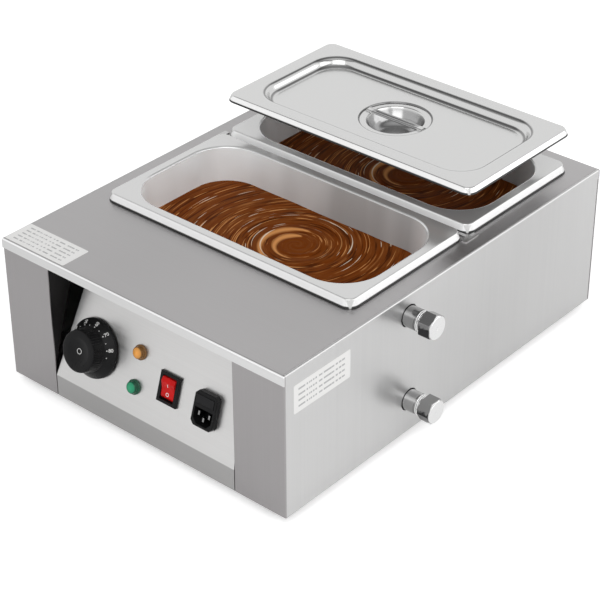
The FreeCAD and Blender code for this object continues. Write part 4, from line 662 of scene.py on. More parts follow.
def chocolate_finish(name, centre):
    """Melted chocolate stirred round one centre into fine strokes, a few bold arms and painted white glints.
    """
    colour = tuple(colours().cocoa)
    caramel = tuple(colours().caramel)
    finish = Finish(name, colour, 0.42)
    finish.set(IOR=1.46, Specular_IOR_Level=0.02)
    local = finish.mapped((1, 1, 1), (-centre[0], -centre[1], 0))
    flat = finish.add("ShaderNodeVectorMath", operation="MULTIPLY")
    finish.link(local, flat.inputs[0])
    flat.inputs[1].default_value = (1, 1, 0)
    length = finish.add("ShaderNodeVectorMath", operation="LENGTH")
    finish.link(flat.outputs["Vector"], length.inputs[0])
    radius = length.outputs["Value"]
    unit = finish.add("ShaderNodeVectorMath", operation="NORMALIZE")
    finish.link(flat.outputs["Vector"], unit.inputs[0])
    turned = finish.add("ShaderNodeVectorRotate", rotation_type="Z_AXIS")
    finish.link(unit.outputs["Vector"], turned.inputs["Vector"])
    winding = finish.math("LOGARITHM", finish.math("ADD", radius, 0.01), math.e)
    finish.link(finish.times(winding, -7.0), turned.inputs["Angle"])

    def strokes(spread, rings, detail, offset, along=26.0):
        """Long arcs that wind slowly outwards: fine across, slow along."""
        scaled = finish.add("ShaderNodeVectorMath", operation="SCALE")
        finish.link(turned.outputs["Vector"], scaled.inputs[0])
        finish.link(finish.math("MULTIPLY_ADD", radius, along, spread), scaled.inputs["Scale"])
        place = finish.axes(scaled.outputs["Vector"])
        joined = finish.add("ShaderNodeCombineXYZ")
        finish.link(place["X"], joined.inputs["X"])
        finish.link(place["Y"], joined.inputs["Y"])
        finish.link(finish.math("MULTIPLY_ADD", radius, rings, offset), joined.inputs["Z"])
        return finish.noise(joined.outputs["Vector"], 1.0, detail)

    broad = strokes(0.5, 60.0, 2.0, 0.0, 9.0)
    fine = strokes(0.7, 360.0, 2.0, 7.3, 13.0)
    thin = strokes(0.8, 480.0, 1.0, 3.9, 13.0)
    painted_glints = strokes(0.8, 450.0, 1.0, 19.1, 15.0)
    calm = finish.rising(radius, 0.012, 0.03)
    dark = tuple(0.36 * value for value in colour)
    warm = tuple(0.8 * low + 0.1 * high for low, high in zip(colour, caramel))
    body = finish.mixed(finish.ranged(broad, 0.0, 0.8, 0.36, 0.66), colour, warm)
    shade = finish.ranged(fine, 0.9, 0.0, 0.36, 0.48)
    body = finish.mixed(finish.times(shade, calm), body, dark)
    light = finish.ranged(fine, 0.0, 0.36, 0.6, 0.7)
    body = finish.mixed(finish.times(light, calm), body, caramel)
    light = finish.ranged(thin, 0.0, 0.85, 0.655, 0.69)
    body = finish.mixed(finish.times(light, calm), body, caramel)
    # Painted highlights: short white glints among the strokes.
    white = finish.times(finish.ranged(painted_glints, 0.0, 0.9, 0.71, 0.74), near_ring(finish, radius))
    body = finish.mixed(white, body, (0.78, 0.66, 0.52))
    heading = finish.axes(unit.outputs["Vector"])
    height = fine
    for arm in ARMS:
        mask = arm_mask(finish, heading, radius, *arm[:5])
        # An arm with a strength of 0 is a painted white glint, not caramel.
        tone = tuple(1.12 * value for value in caramel) if arm[5] else (0.8, 0.7, 0.56)
        body = finish.mixed(finish.times(mask, arm[5] or 0.8), body, tone)
        height = finish.math("ADD", height, mask)
    finish.feed("Base Color", body)
    finish.feed("Roughness", finish.ranged(fine, 0.34, 0.5))
    finish.bump(height, 0.0005, 0.5)
    return finish.material


def arm_mask(finish, heading, radius, start, end, start_radius, end_radius, width):
    """One at the middle of a tapering arc, fading to nothing at its sides and ends."""
    middle = math.radians((start + end) / 2)
    half = math.radians(end - start) / 2
    ahead = finish.math("ADD", finish.times(heading["X"], math.cos(middle)),
                        finish.times(heading["Y"], math.sin(middle)))
    aside = finish.math("SUBTRACT", finish.times(heading["Y"], math.cos(middle)),
                        finish.times(heading["X"], math.sin(middle)))
    share = finish.rising(finish.math("ARCTAN2", aside, ahead), -half, half)
    line = finish.math("MULTIPLY_ADD", share, (end_radius - start_radius) / 1000, start_radius / 1000)
    away = finish.apart(radius, line)
    taper = finish.times(finish.rising(share, 0.0, 0.22), finish.falling(share, 0.25, 1.0))
    reach = finish.times(finish.math("MULTIPLY_ADD", taper, 0.85, 0.15), width / 1000)
    inside = finish.math("SUBTRACT", 1.0, finish.math("DIVIDE", away, reach))
    ends = finish.times(finish.rising(share, 0.0, 0.04), finish.falling(share, 0.94, 1.0))
    return finish.times(finish.rising(inside, 0.0, 0.8), ends)


def near_ring(finish, radius):
    """Fades the painted white glints out at the very centre and far away."""
    inner = finish.rising(radius, 0.03, 0.05)
    outer = finish.ranged(radius, 1.0, 0.6, 0.09, 0.15)
    return finish.times(inner, outer)


# The stage


class MELTER_OT_stage(bpy.types.Operator):
    """Camera at the photograph's angle, pale floor, soft lights and a white surrounding"""
    bl_idname = "melter.stage"
    bl_label = "Stage"

    def execute(self, context):
        self.add_camera()
        self.add_floor()
        self.add_lights()
        self.add_world()
        return {"FINISHED"}

    def add_camera(self):
        azimuth, elevation, roll = (math.radians(value) for value in CAMERA_ANGLES)
        target = HOME + Vector(CAMERA_TARGET)
        back = Vector((math.cos(elevation) * math.sin(azimuth), -math.cos(elevation) * math.cos(azimuth),
                       math.sin(elevation)))
        right = Vector((math.cos(azimuth), math.sin(azimuth), 0))
        up = back.cross(right)
        level_right = right * math.cos(roll) + up * math.sin(roll)
        level_up = up * math.cos(roll) - right * math.sin(roll)
        clear_selection()
        bpy.ops.object.camera_add()
        camera = bpy.context.object
        turn = Matrix((level_right, level_up, back)).transposed().to_4x4()
        camera.matrix_world = Matrix.Translation(target + back * CAMERA_DISTANCE) @ turn
        camera.data.sensor_fit = "HORIZONTAL"
        camera.data.sensor_width = 36
        camera.data.lens = FOCAL_LENGTH
        camera.data.clip_end = 60
        bpy.context.scene.camera = camera
        bpy.context.scene.view_settings.view_transform = "Standard"

    def add_floor(self):
        clear_selection()
        bpy.ops.mesh.primitive_plane_add(size=sizes().floor_size, location=(0, 0, 0))
        floor = bpy.context.object
        floor.name = "pale_floor"
        finish = Finish("floor_white", (0.92, 0.92, 0.92), 0.8)
        light = finish.add("ShaderNodeEmission")
        path = finish.add("ShaderNodeLightPath")
        seen = finish.math("MAXIMUM", path.outputs["Is Glossy Ray"], path.outputs["Is Transmission Ray"])
        seen = finish.math("MAXIMUM", path.outputs["Is Camera Ray"], finish.times(seen, 0.2))
        finish.link(finish.times(seen, 0.42), light.inputs["Strength"])
        both = finish.add("ShaderNodeAddShader")
        finish.link(finish.shader.outputs["BSDF"], both.inputs[0])
        finish.link(light.outputs["Emission"], both.inputs[1])
        output = next(node for node in finish.tree.nodes if node.type == "OUTPUT_MATERIAL")
        finish.link(both.outputs["Shader"], output.inputs["Surface"])
        finish.shaded(finish.ranged(finish.noise(finish.mapped((1.5, 1.5, 1.5))), 0.99, 1.01))
        finish.set(Specular_IOR_Level=0.1)
        floor.data.materials.append(finish.material)

    def add_lights(self):
        lamps = (
            ("key", (0.9, -1.5, 1.9), 1.8, 17.0),
            ("fill", (1.7, 0.2, 1.1), 1.6, 7.0),
            ("back", (1.25, 1.2, 0.5), 0.9, 2.4),
        )
        for name, place, span, power in lamps:
            clear_selection()
            bpy.ops.object.light_add(type="AREA", location=place)
            lamp = bpy.context.object
            lamp.name = name
            lamp.data.energy = power
            lamp.data.shape = "SQUARE"
            lamp.data.size = span
            aim = Vector((0, 0, 0.08)) - Vector(place)
            lamp.rotation_euler = aim.to_track_quat("-Z", "Y").to_euler()

    def add_world(self):
        """White to the camera; to gloss, bright with a dark band high up."""
        world = bpy.data.worlds.new("studio")
        bpy.context.scene.world = world
        world.use_nodes = True
        nodes = world.node_tree.nodes
        link = world.node_tree.links.new
        nodes.clear()

        def blended(factor, first, second):
            mix = nodes.new("ShaderNodeMixShader")
            link(factor, mix.inputs["Fac"])
            link(first.outputs[0], mix.inputs[1])
            link(second.outputs[0], mix.inputs[2])
            return mix

        output = nodes.new("ShaderNodeOutputWorld")
        path = nodes.new("ShaderNodeLightPath").outputs
        soft, white, gloss = [nodes.new("ShaderNodeBackground") for _ in range(3)]
        for light, strength in ((soft, 0.68), (white, 1.0)):
            light.inputs["Color"].default_value = (1, 1, 1, 1)
            light.inputs["Strength"].default_value = strength
        split = nodes.new("ShaderNodeSeparateXYZ")
        link(nodes.new("ShaderNodeTexCoord").outputs["Generated"], split.inputs["Vector"])
        ramp = nodes.new("ShaderNodeValToRGB")
        link(split.outputs["Z"], ramp.inputs["Fac"])
        stops = ramp.color_ramp.elements
        stops[0].color = (1, 1, 1, 1)
        stops[1].color = (0.7, 0.7, 0.7, 1)
        for position, tone in ((0.65, 0.98), (0.73, 0.4), (0.8, 0.2), (0.88, 0.4)):
            stops.new(position).color = (tone, tone, tone, 1)
        link(ramp.outputs["Color"], gloss.inputs["Color"])
        shiny = nodes.new("ShaderNodeMath")
        shiny.operation = "MAXIMUM"
        link(path["Is Glossy Ray"], shiny.inputs[0])
        link(path["Is Transmission Ray"], shiny.inputs[1])
        plain = blended(path["Is Camera Ray"], soft, white)
        link(blended(shiny.outputs["Value"], plain, gloss).outputs[0], output.inputs["Surface"])


# Pans, chocolate and lid


def rim_sections(skirt):
    """Skirt and folded edge as (length, width, corner, height), from the skirt's lower edge."""
    outline = [(0.4, -skirt), (0.0, 0.4 - skirt)]
    lean = math.atan2(RIM_LEAN, skirt)
    steps = 6
    for step in range(steps + 1):
        turn = lean + (math.pi / 2 - lean) * step / steps
        outline.append((RIM_LEAN + RIM_FOLD * (1 - math.cos(turn)), RIM_FOLD * (math.sin(turn) - 1)))
    return [(PAN_LENGTH - 2 * draw, PAN_WIDTH - 2 * draw, 12 - draw, height) for draw, height in outline]


def well_sections(start, grow, depths):
    """Sections of the tapering well, each grown outwards by a little."""
    sections = []
    for depth, out in zip(depths, grow):
        share = depth / 100
        length = PAN_LENGTH - 25 - 24 * share - 2 * start + 2 * out
        width = PAN_WIDTH - 25 - 24 * share - 2 * start + 2 * out
        sections.append((length, width, 46 - 8 * share - start + out, -depth))
    return sections


def pan_sections():
    depths, grow = [], []
    for degrees in range(0, 81, 16):
        turn = math.radians(degrees)
        depths.append(0.03 + 2.2 * (1 - math.cos(turn)))
        grow.append(2.2 * (1 - math.sin(turn)))
    for depth in (30, 60):
        depths.append(depth)
        grow.append(0)
    for degrees in range(0, 91, 15):
        turn = math.radians(degrees)
        depths.append(86 + 13.2 * math.sin(turn))
        grow.append(13.2 * (math.cos(turn) - 1))
    return rim_sections(9) + well_sections(SHEET, grow, depths)


def sheet_walls(piece):
    """Gives a one-sided sheet its thickness and even shading."""
    modify(piece, "SOLIDIFY", thickness=SHEET / 1000, offset=-1.0, use_even_offset=True)
    smooth(piece, 40)
    modify(piece, "WEIGHTED_NORMAL", keep_sharp=True)


class MELTER_OT_pans(bpy.types.Operator):
    """Two gastronorm 1/3 pans with folded rims, rounded wells and floors"""
    bl_idname = "melter.pans"
    bl_label = "Pans"

    def execute(self, context):
        for name in ("front", "rear"):
            low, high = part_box("pan_" + name)
            middle = over_middle(low, high, high.z)
            pan = begin_piece("pan_shell_" + name)
            rings = [rounded_ring(pan, *section, middle) for section in pan_sections()]
            join_rings(pan, rings)
            close_ring(pan, rings[-1])
            face_up(pan)
            end_piece(pan)
            sheet_walls(pan)
            steel = pressed_steel("pan_steel_" + name, low, high, 0.009, True)
            finish_piece(pan, steel, name + "_pan", "pan_steel", "pan_" + name)
        return {"FINISHED"}


SWIRL_CENTRES = {"front": (12.5, -35.0), "rear": (5.0, 153.0)}


class MELTER_OT_chocolate(bpy.types.Operator):
    """Melted chocolate in both pans, its surface stirred into a spiral"""
    bl_idname = "melter.chocolate"
    bl_label = "Chocolate"

    def execute(self, context):
        for name, (across, along) in SWIRL_CENTRES.items():
            low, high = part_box("chocolate_" + name)
            pan_low, pan_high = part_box("pan_" + name)
            middle = over_middle(low, high, pan_high.z)
            centre = (HOME.x + across / 1000, HOME.y + along / 1000)
            mass = self.add_mass(name, middle)
            surface = self.add_surface(name, middle, high.z, centre)
            trim(mass, surface)
            smooth(mass, 40)
            stirred = chocolate_finish("melted_chocolate_" + name, centre)
            finish_piece(mass, stirred, name + "_pan", "chocolate", "chocolate_" + name)
        return {"FINISHED"}

    def add_mass(self, name, middle):
        """The well filled to above the surface, just clear of its walls."""
        mass = begin_piece("melted_" + name)
        depths = [30, 60]
        grow = [0, 0]
        for degrees in range(0, 91, 18):
            turn = math.radians(degrees)
            depths.append(86 + 13.1 * math.sin(turn))
            grow.append(13.2 * (math.cos(turn) - 1))
        rings = [rounded_ring(mass, *section, middle) for section in well_sections(0.9, grow, depths)]
        join_rings(mass, rings)
        close_ring(mass, rings[0])
        close_ring(mass, rings[-1])
        face_out()
        return end_piece(mass)

    def add_surface(self, name, middle, level, centre):
        """A fine grid raised into a stirred relief, with a block below it."""
        clear_selection()
        bpy.ops.mesh.primitive_grid_add(x_subdivisions=170, y_subdivisions=92, size=1,
                                        location=(middle.x, middle.y, level))
        surface = bpy.context.object
        surface.name = "stirred_" + name
        edit_all()
        bpy.ops.transform.resize(value=(0.32, 0.17, 1), center_override=(middle.x, middle.y, level))
        apply_place(surface)
        height = sizes().relief
        for vert in surface.data.vertices:
            across, along = vert.co.x - centre[0], vert.co.y - centre[1]
            distance = math.hypot(across, along)
            turn = math.atan2(along, across)
            spiral = math.sin(2 * turn - 14 * math.log(distance + 0.004) + 1.2)
            reach = math.exp(-(distance / 0.06) ** 2)
            fade = min(1.0, distance / 0.02)
            vert.co.z += height * ((0.35 * reach + 0.12) * spiral * fade - 0.4 * reach)
        only(surface)
        edit_all()
        bpy.ops.mesh.extrude_region_move(TRANSFORM_OT_translate={"value": (0, 0, -0.08)})
        face_out()
        bpy.ops.object.mode_set(mode="OBJECT")
        return surface


def lid_sections():
    """Rim, rounded edge, sloping side and plateau of the lid."""
    sections = rim_sections(7)
    roll, slope, lean = 6.76, 2.59, math.radians(60)
    steps = 9
    outline = []
    for step in range(steps + 1):
        turn = lean * step / steps
        outline.append((roll * math.sin(turn), -roll * (1 - math.cos(turn))))
    across, down = outline[-1]
    outline.append((across + slope / 2 * math.cos(lean), down - slope / 2 * math.sin(lean)))
    outline += [(13 - across, -9 - down) for across, down in reversed(outline[:-1])]
    for across, down in outline:
        draw = across - 1
        sections.append((287.4 - 2 * draw, 138.4 - 2 * draw, 33.2 - draw / 2, down - 0.03 - down / 300))
    return sections


def cup_profile():
    """Ring and finger cup as (radius, height) from the plateau inwards."""
    profile = [(39.3, -9.03), (38.7, -9.15), (38.4, -9.5), (38.3, -10.1), (38.0, -10.45), (37.4, -10.6),
               (32.2, -10.63), (31.4, -10.75), (30.7, -11.3), (30.3, -12.2), (28.2, -17.2)]
    for degrees in range(20, 91, 10):
        turn = math.radians(degrees)
        profile.append((14.2 + 13 * math.cos(turn), -15.4 - 12.2 * math.sin(turn)))
    return profile


class MELTER_OT_lid(bpy.types.Operator):
    """Lid with a folded rim, sloping recess and a finger cup, and the strap across the cup"""
    bl_idname = "melter.lid"
    bl_label = "Lid"

    def execute(self, context):
        low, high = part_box("lid")
        middle = over_middle(low, high, high.z)
        lid = begin_piece("lid_shell")
        rings = [rounded_ring(lid, *section, middle, 11, 12) for section in lid_sections()]
        rings += [round_ring(lid, radius, height, middle, 96) for radius, height in cup_profile()]
        join_rings(lid, rings)
        close_ring(lid, rings[-1])
        face_up(lid)
        end_piece(lid)
        sheet_walls(lid)
        steel = pressed_steel("lid_steel", low, high, 0.007)
        finish_piece(lid, steel, "lid", "pan_steel", "lid")
        self.add_strap(middle, steel)
        return {"FINISHED"}

    def add_strap(self, middle, steel):
        """A strap with two raised ridges either side of a groove."""
        low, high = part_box("lid_handle")
        strap = block("strap_handle", 73, 9, 1.6)
        only(strap)
        bpy.ops.object.mode_set(mode="EDIT")
        for along in (-3.3, -2.4, -1.4, -0.7, 0.7, 1.4, 2.4, 3.3):
            bpy.ops.mesh.select_all(action="SELECT")
            bpy.ops.mesh.bisect(plane_co=(0, along / 1000, 0), plane_no=(0, 1, 0))
        for across in (-27, -24, 24, 27):
            bpy.ops.mesh.select_all(action="SELECT")
            bpy.ops.mesh.bisect(plane_co=(across / 1000, 0, 0), plane_no=(1, 0, 0))
        mesh = bmesh.from_edit_mesh(strap.data)
        for vert in mesh.verts:
            top = vert.co.z > 0.001
            inside = abs(vert.co.x) < 0.0245
            groove = abs(vert.co.y) < 0.001
            edge = abs(vert.co.y) > 0.003
            if top and inside and groove:
                vert.co.z -= 0.0008
            elif top and edge:
                vert.co.z -= 0.0005
        bmesh.update_edit_mesh(strap.data)
        end_piece(strap, 60)
        place = Matrix.Translation((middle.x, middle.y, low.z))
        apply_place(strap, place)
        finish_piece(strap, steel, "lid", "pan_steel", "lid_handle")


# The control panel's fittings


DIAL_MARKS = [(185, "30"), (151, "40"), (117, "50"), (85, "60"), (52, "70"), (17, "80")]
SMALL_MARKS = (168, 133, 101, 69, 34, 0)


def cone_matrix(degrees, radius, lift=0.0):
    """A place on the dial's cone, X running outwards down the slope, Y round the dial."""
    turn = math.radians(degrees)
    slope = math.atan2(7.6, 7.8)
    height = 3.5 + (30.6 - radius) * 7.6 / 7.8
    level = math.cos(slope)
    outward = Vector((math.cos(turn) * level, math.sin(turn) * level, -math.sin(slope)))
    around = Vector((-math.sin(turn), math.cos(turn), 0))
    normal = outward.cross(around)
    point = Vector((radius * math.cos(turn), radius * math.sin(turn), height)) / 1000 + normal * lift / 1000
    return Matrix.Translation(point) @ Matrix((outward, around, normal)).transposed().to_4x4()


def text_mesh(name, words, height, thickness):
    """A word as a thin solid, centred on its own origin."""
    clear_selection()
    bpy.ops.object.text_add(location=(0, 0, 0))
    words_object = bpy.context.object
    words_object.data.body = words
    words_object.data.size = height * 1.42
    words_object.data.extrude = thickness
    words_object.data.offset = height * 0.012
    words_object.data.align_x = "CENTER"
    words_object.data.align_y = "CENTER"
    bpy.ops.object.convert(target="MESH")
    piece = bpy.context.object
    piece.name = name
    return piece


class MELTER_OT_knob(bpy.types.Operator):
    """Thermostat knob: conical dial with figures and dots, notched grip, dished face"""
    bl_idname = "melter.knob"
    bl_label = "Knob"

    def execute(self, context):
        profile = [(0.0, 6.5), (9.9, 6.5), (9.9, 1.2), (30.2, 1.2), (30.6, 1.6), (30.6, 3.1),
                   (30.4, 3.6), (29.9, 4.2), (24.0, 9.85), (23.2, 10.4), (22.75, 10.7), (22.7, 11.2), (22.4, 14.0), (21.6, 22.0),
                   (21.45, 23.6), (21.1, 24.5), (20.5, 24.9), (19.8, 25.0), (14.5, 25.0), (13.4, 24.8),
                   (9.0, 23.3), (4.0, 23.0), (0.0, 23.0)]
        knob = turned_piece("knob_shell", profile, 192)
        self.cut_notches(knob)
        place = panel_matrix(-75.5, 47.0)
        apply_place(knob, place)
        plastic = moulded("knob_black", colours().black, 0.3, 1800, 0.00002)
        finish_piece(knob, plastic, "knob", "knob_plastic", "temperature_knob")
        self.add_marks(place)
        return {"FINISHED"}

    def cut_notches(self, knob):
        """Presses every fourth strip of the grip inwards."""
        only(knob)
        bpy.ops.object.mode_set(mode="EDIT")
        bpy.ops.mesh.select_mode(type="FACE")
        bpy.ops.mesh.select_all(action="DESELECT")
        mesh = bmesh.from_edit_mesh(knob.data)
        pitch = 2 * math.pi / sizes().knob_notches
        for face in mesh.faces:
            middle = face.calc_center_median()
            reach = math.hypot(middle.x, middle.y)
            turn = math.atan2(middle.y, middle.x) % pitch
            on_grip = 0.0205 < reach < 0.0228 and 0.0135 < middle.z < 0.0242
            face.select_set(on_grip and turn < pitch / 4)
        mesh.select_flush_mode()
        bmesh.update_edit_mesh(knob.data)
        bpy.ops.mesh.extrude_region_shrink_fatten(TRANSFORM_OT_shrink_fatten={"value": -0.0005})
        end_piece(knob, 30)

    def add_marks(self, place):
        """White figures and dots on the cone, and a plain ring in the face."""
        pieces = []
        height = sizes().dial_text
        for degrees, words in DIAL_MARKS:
            figures = text_mesh("figures", words, height, 0.00012)
            apply_place(figures, cone_matrix(degrees, 27.1, 0.02))
            pieces.append(figures)
            pieces.append(self.dot(degrees, 24.3, 0.62))
        for degrees in SMALL_MARKS:
            pieces.append(self.dot(degrees, 24.3, 0.45))
        pieces.append(turned_piece("face_ring", ring_profile(2.5, 3.0, 23.0, 23.12), 48))
        marks = join_pieces("dial_marks", pieces)
        apply_place(marks, place)
        white = moulded("mark_white", (0.78, 0.78, 0.77), 0.45, 3000, 0.00001, 0.05)
        finish_piece(marks, white, "knob", "knob_plastic")

    def dot(self, degrees, radius, size):
        profile = [(0.0, -0.1), (size, -0.1), (size, 0.06), (size * 0.8, 0.12), (0.0, 0.12)]
        dot = turned_piece("dot", profile, 20)
        apply_place(dot, cone_matrix(degrees, radius))
        return dot


class MELTER_OT_lamps(bpy.types.Operator):
    """Orange and green pilot lamps with a collar and a domed lens"""
    bl_idname = "melter.lamps"
    bl_label = "Pilot lamps"

    def execute(self, context):
        profile = [(0.0, 0.0), (7.5, 0.0), (7.8, 0.3), (7.8, 1.5), (7.5, 1.9), (7.0, 2.0), (6.6, 2.15),
                   (6.45, 2.6), (6.4, 4.3), (6.2, 5.1), (5.7, 5.7), (5.0, 6.05), (4.4, 6.1), (4.2, 5.9),
                   (4.0, 5.9), (3.6, 6.1), (2.0, 6.4), (0.0, 6.5)]
        for name, rise in (("orange", 65.3), ("green", 28.8)):
            lens = turned_piece("lens_" + name, profile, 72)
            apply_place(lens, panel_matrix(-17.5, rise))
            finish = lens_finish(name + "_lens", tuple(getattr(colours(), name)), -17.5, rise)
            finish_piece(lens, finish, "casing", name + "_lens", name + "_lamp_lens")
        return {"FINISHED"}


class MELTER_OT_rocker(bpy.types.Operator):
    """Red rocker with two humps, tipped on its trunnions, and its white I and O"""
    bl_idname = "melter.rocker"
    bl_label = "Rocker"

    def execute(self, context):
        place = panel_matrix(26.3, 44.5, -1.4) @ Matrix.Rotation(math.radians(12), 4, "X")
        rocker = self.add_rocker()
        pin = turned_piece("trunnion", [(0, -10.1), (1.6, -10.1), (1.6, 10.1), (0, 10.1)], 32)
        apply_place(pin, Matrix.Rotation(math.radians(90), 4, "Y"))
        rocker = join_pieces("rocker_cap", [rocker, pin])
        apply_place(rocker, place)
        red = moulded("rocker_red", colours().rocker, 0.26, 2400, 0.00001)
        finish_piece(rocker, red, "rocker", "rocker_plastic", "power_rocker")
        self.add_marks(place)
        return {"FINISHED"}

    def add_rocker(self):
        """The side outline drawn point by point, made a face and extruded across."""
        outline = [(12.0, 2.65), (8.25, 5.3), (4.0, 4.6), (0.0, 4.2), (-4.0, 4.6), (-8.25, 5.3),
                   (-12.0, 2.65), (-10.9, -4.55), (10.9, -4.55)]
        piece = begin_piece("rocker_cap")
        half = 8.5
        draw_line([(-half, along, out) for along, out in outline])
        bpy.ops.mesh.select_all(action="SELECT")
        bpy.ops.mesh.edge_face_add()
        bpy.ops.mesh.extrude_region_move(TRANSFORM_OT_translate={"value": (2 * half / 1000, 0, 0)})
        face_out()
        end_piece(piece)
        modify(piece, "BEVEL", width=0.0006, segments=3, limit_method="ANGLE",
               angle_limit=math.radians(25))
        smooth(piece, 40)
        modify(piece, "WEIGHTED_NORMAL", keep_sharp=True)
        return piece

    def add_marks(self, place):
        """A bar on the upper half and a ring on the lower half."""
        bar = block("bar_mark", 0.7, 3.4, 0.16, 0.05, 2)
        lean = math.atan2(0.6, 4.1)
        apply_place(bar, Matrix.Translation((0, 0.0046, 0.00468)) @ Matrix.Rotation(lean, 4, "X"))
        ring = turned_piece("ring_mark", ring_profile(1.35, 2.0, -0.05, 0.16), 40)
        apply_place(ring, Matrix.Translation((0, -0.0050, 0.00470)) @ Matrix.Rotation(-lean, 4, "X"))
        marks = join_pieces("rocker_marks", [bar, ring])
        apply_place(marks, place)
        white = moulded("rocker_white", (0.8, 0.8, 0.79), 0.4, 3000, 0.00001, 0.04)
        finish_piece(marks, white, "rocker", "rocker_plastic")


# The ports


PORT_LINES = {"overflow": (-71.0, 146.3, 30), "drain": (-67.0, 47.4, 0)}


def port_matrix(name, reach=0.0):
    """A place on a port's axis beyond the right side, Z pointing outwards."""
    along, height, _ = PORT_LINES[name]
    point = HOME + Vector((HALF_WIDTH + reach, along, height)) / 1000
    return Matrix.Translation(point) @ Matrix.Rotation(math.radians(90), 4, "Y")


class MELTER_OT_ports(bpy.types.Operator):
    """Overflow and drain: a helical thread on each nipple and a chamfered hexagon cap"""
    bl_idname = "melter.ports"
    bl_label = "Ports"

    def execute(self, context):
        chrome = polished("port_chrome", (0.8, 0.8, 0.8), 0.12)
        for name, (_, height, _) in PORT_LINES.items():
            thread = self.add_thread(name)
            finish_piece(thread, chrome, "casing", "port_chrome")
            cap = self.add_cap(name)
            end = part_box(name + "_cap")[1].x
            plate = plated(name + "_plate", height / 1000, end)
            finish_piece(cap, plate, name + "_cap", "port_chrome", name + "_cap")
        return {"FINISHED"}

    def add_thread(self, name):
        """A ridge wound round the nipple between its sleeve and its cap."""
        piece = begin_piece(name + "_thread")
        pitch = sizes().thread_pitch
        draw_line([(10.35, 0, 0), (10.95, 0, 400 * pitch), (10.35, 0, 800 * pitch)])
        bpy.ops.object.mode_set(mode="OBJECT")
        modify(piece, "SCREW", axis="Z", angle=2 * math.pi, screw_offset=pitch, iterations=3, steps=48,
               render_steps=48, use_smooth_shade=True)
        only(piece)
        bpy.ops.object.mode_set(mode="EDIT")
        face_out()
        mesh = bmesh.from_edit_mesh(piece.data)
        lean = sum(face.normal.dot(face.calc_center_median() * Vector((1, 1, 0))) for face in mesh.faces)
        if lean < 0:
            bpy.ops.mesh.flip_normals()
        end_piece(piece, 25)
        apply_place(piece, port_matrix(name, 13.1))
        return piece

    def add_cap(self, name):
        """A hexagon cut to a turned envelope with a 30 degree chamfer and a centre mark."""
        turn = PORT_LINES[name][2]
        clear_selection()
        bpy.ops.mesh.primitive_cylinder_add(vertices=6, radius=0.024 / math.sqrt(3), depth=0.014,
                                            location=(0, 0, 0.007))
        cap = bpy.context.object
        cap.name = name + "_cap_shell"
        bpy.ops.object.mode_set(mode="EDIT")
        bpy.ops.mesh.select_all(action="DESELECT")
        bpy.ops.mesh.select_mode(type="EDGE")
        mesh = bmesh.from_edit_mesh(cap.data)
        for edge in mesh.edges:
            first, second = edge.verts
            edge.select_set(abs(first.co.z - second.co.z) > 0.01)
        bmesh.update_edit_mesh(cap.data)
        bpy.ops.mesh.bevel(offset=0.0006, segments=3, affect="EDGES")
        bpy.ops.object.mode_set(mode="OBJECT")
        apply_place(cap)
        envelope = turned_piece("cap_envelope", [
            (10.53, 0.0), (13.4, 0.0), (13.9, 0.3), (14.2, 0.5), (14.2, 11.75), (12.1, 13.0), (12.0, 13.1),
            (11.9, 13.7), (11.5, 14.0), (2.0, 14.0), (1.6, 13.8), (0.0, 13.6), (0.0, 10.5), (10.53, 10.5),
            (10.53, 0.0)], 96)
        trim(cap, envelope)
        smooth(cap, 25)
        modify(cap, "WEIGHTED_NORMAL", keep_sharp=True)
        place = port_matrix(name, 20.0) @ Matrix.Rotation(math.radians(turn), 4, "Z")
        apply_place(cap, place)
        return cap


# Labels


class MELTER_OT_labels(bpy.types.Operator):
    """Two bare white labels, one on the deck and one on the right side"""
    bl_idname = "melter.labels"
    bl_label = "Labels"

    def execute(self, context):
        thickness = sizes().label_thickness * 1000
        deck = self.film("deck_label", 83, 35, thickness)
        apply_place(deck, Matrix.Translation(HOME + Vector((-0.1415, -0.2300, DECK))))
        low = HOME + Vector((-0.183, -0.2475, 0))
        high = HOME + Vector((-0.100, -0.2125, 0))
        finish_piece(deck, label_finish("deck_label_film", low, high, 6, 0, 1), "casing", "panel_steel")
        side = self.film("side_label", 79, 31, thickness)
        turn = Matrix.Rotation(math.radians(90), 4, "Z") @ Matrix.Rotation(math.radians(90), 4, "X")
        apply_place(side, Matrix.Translation(HOME + Vector((HALF_WIDTH / 1000, -0.1975, 0.1375))) @ turn)
        low = HOME + Vector((0, -0.237, 0.122))
        high = HOME + Vector((0, -0.158, 0.153))
        finish_piece(side, label_finish("side_label_film", low, high, 5, 1, 2), "casing", "panel_steel")
        return {"FINISHED"}

    def film(self, name, length, width, thickness):
        """A thin film with rounded corners, lying on its own base."""
        film = begin_piece(name)
        base = Vector((0, 0, 0))
        rings = [rounded_ring(film, length, width, 1.5, 0.0, base, 5),
                 rounded_ring(film, length, width, 1.5, thickness, base, 5)]
        join_rings(film, rings)
        close_ring(film, rings[0])
        close_ring(film, rings[1])
        face_out()
        return end_piece(film)


# Finishes of the pieces that keep their solid shape


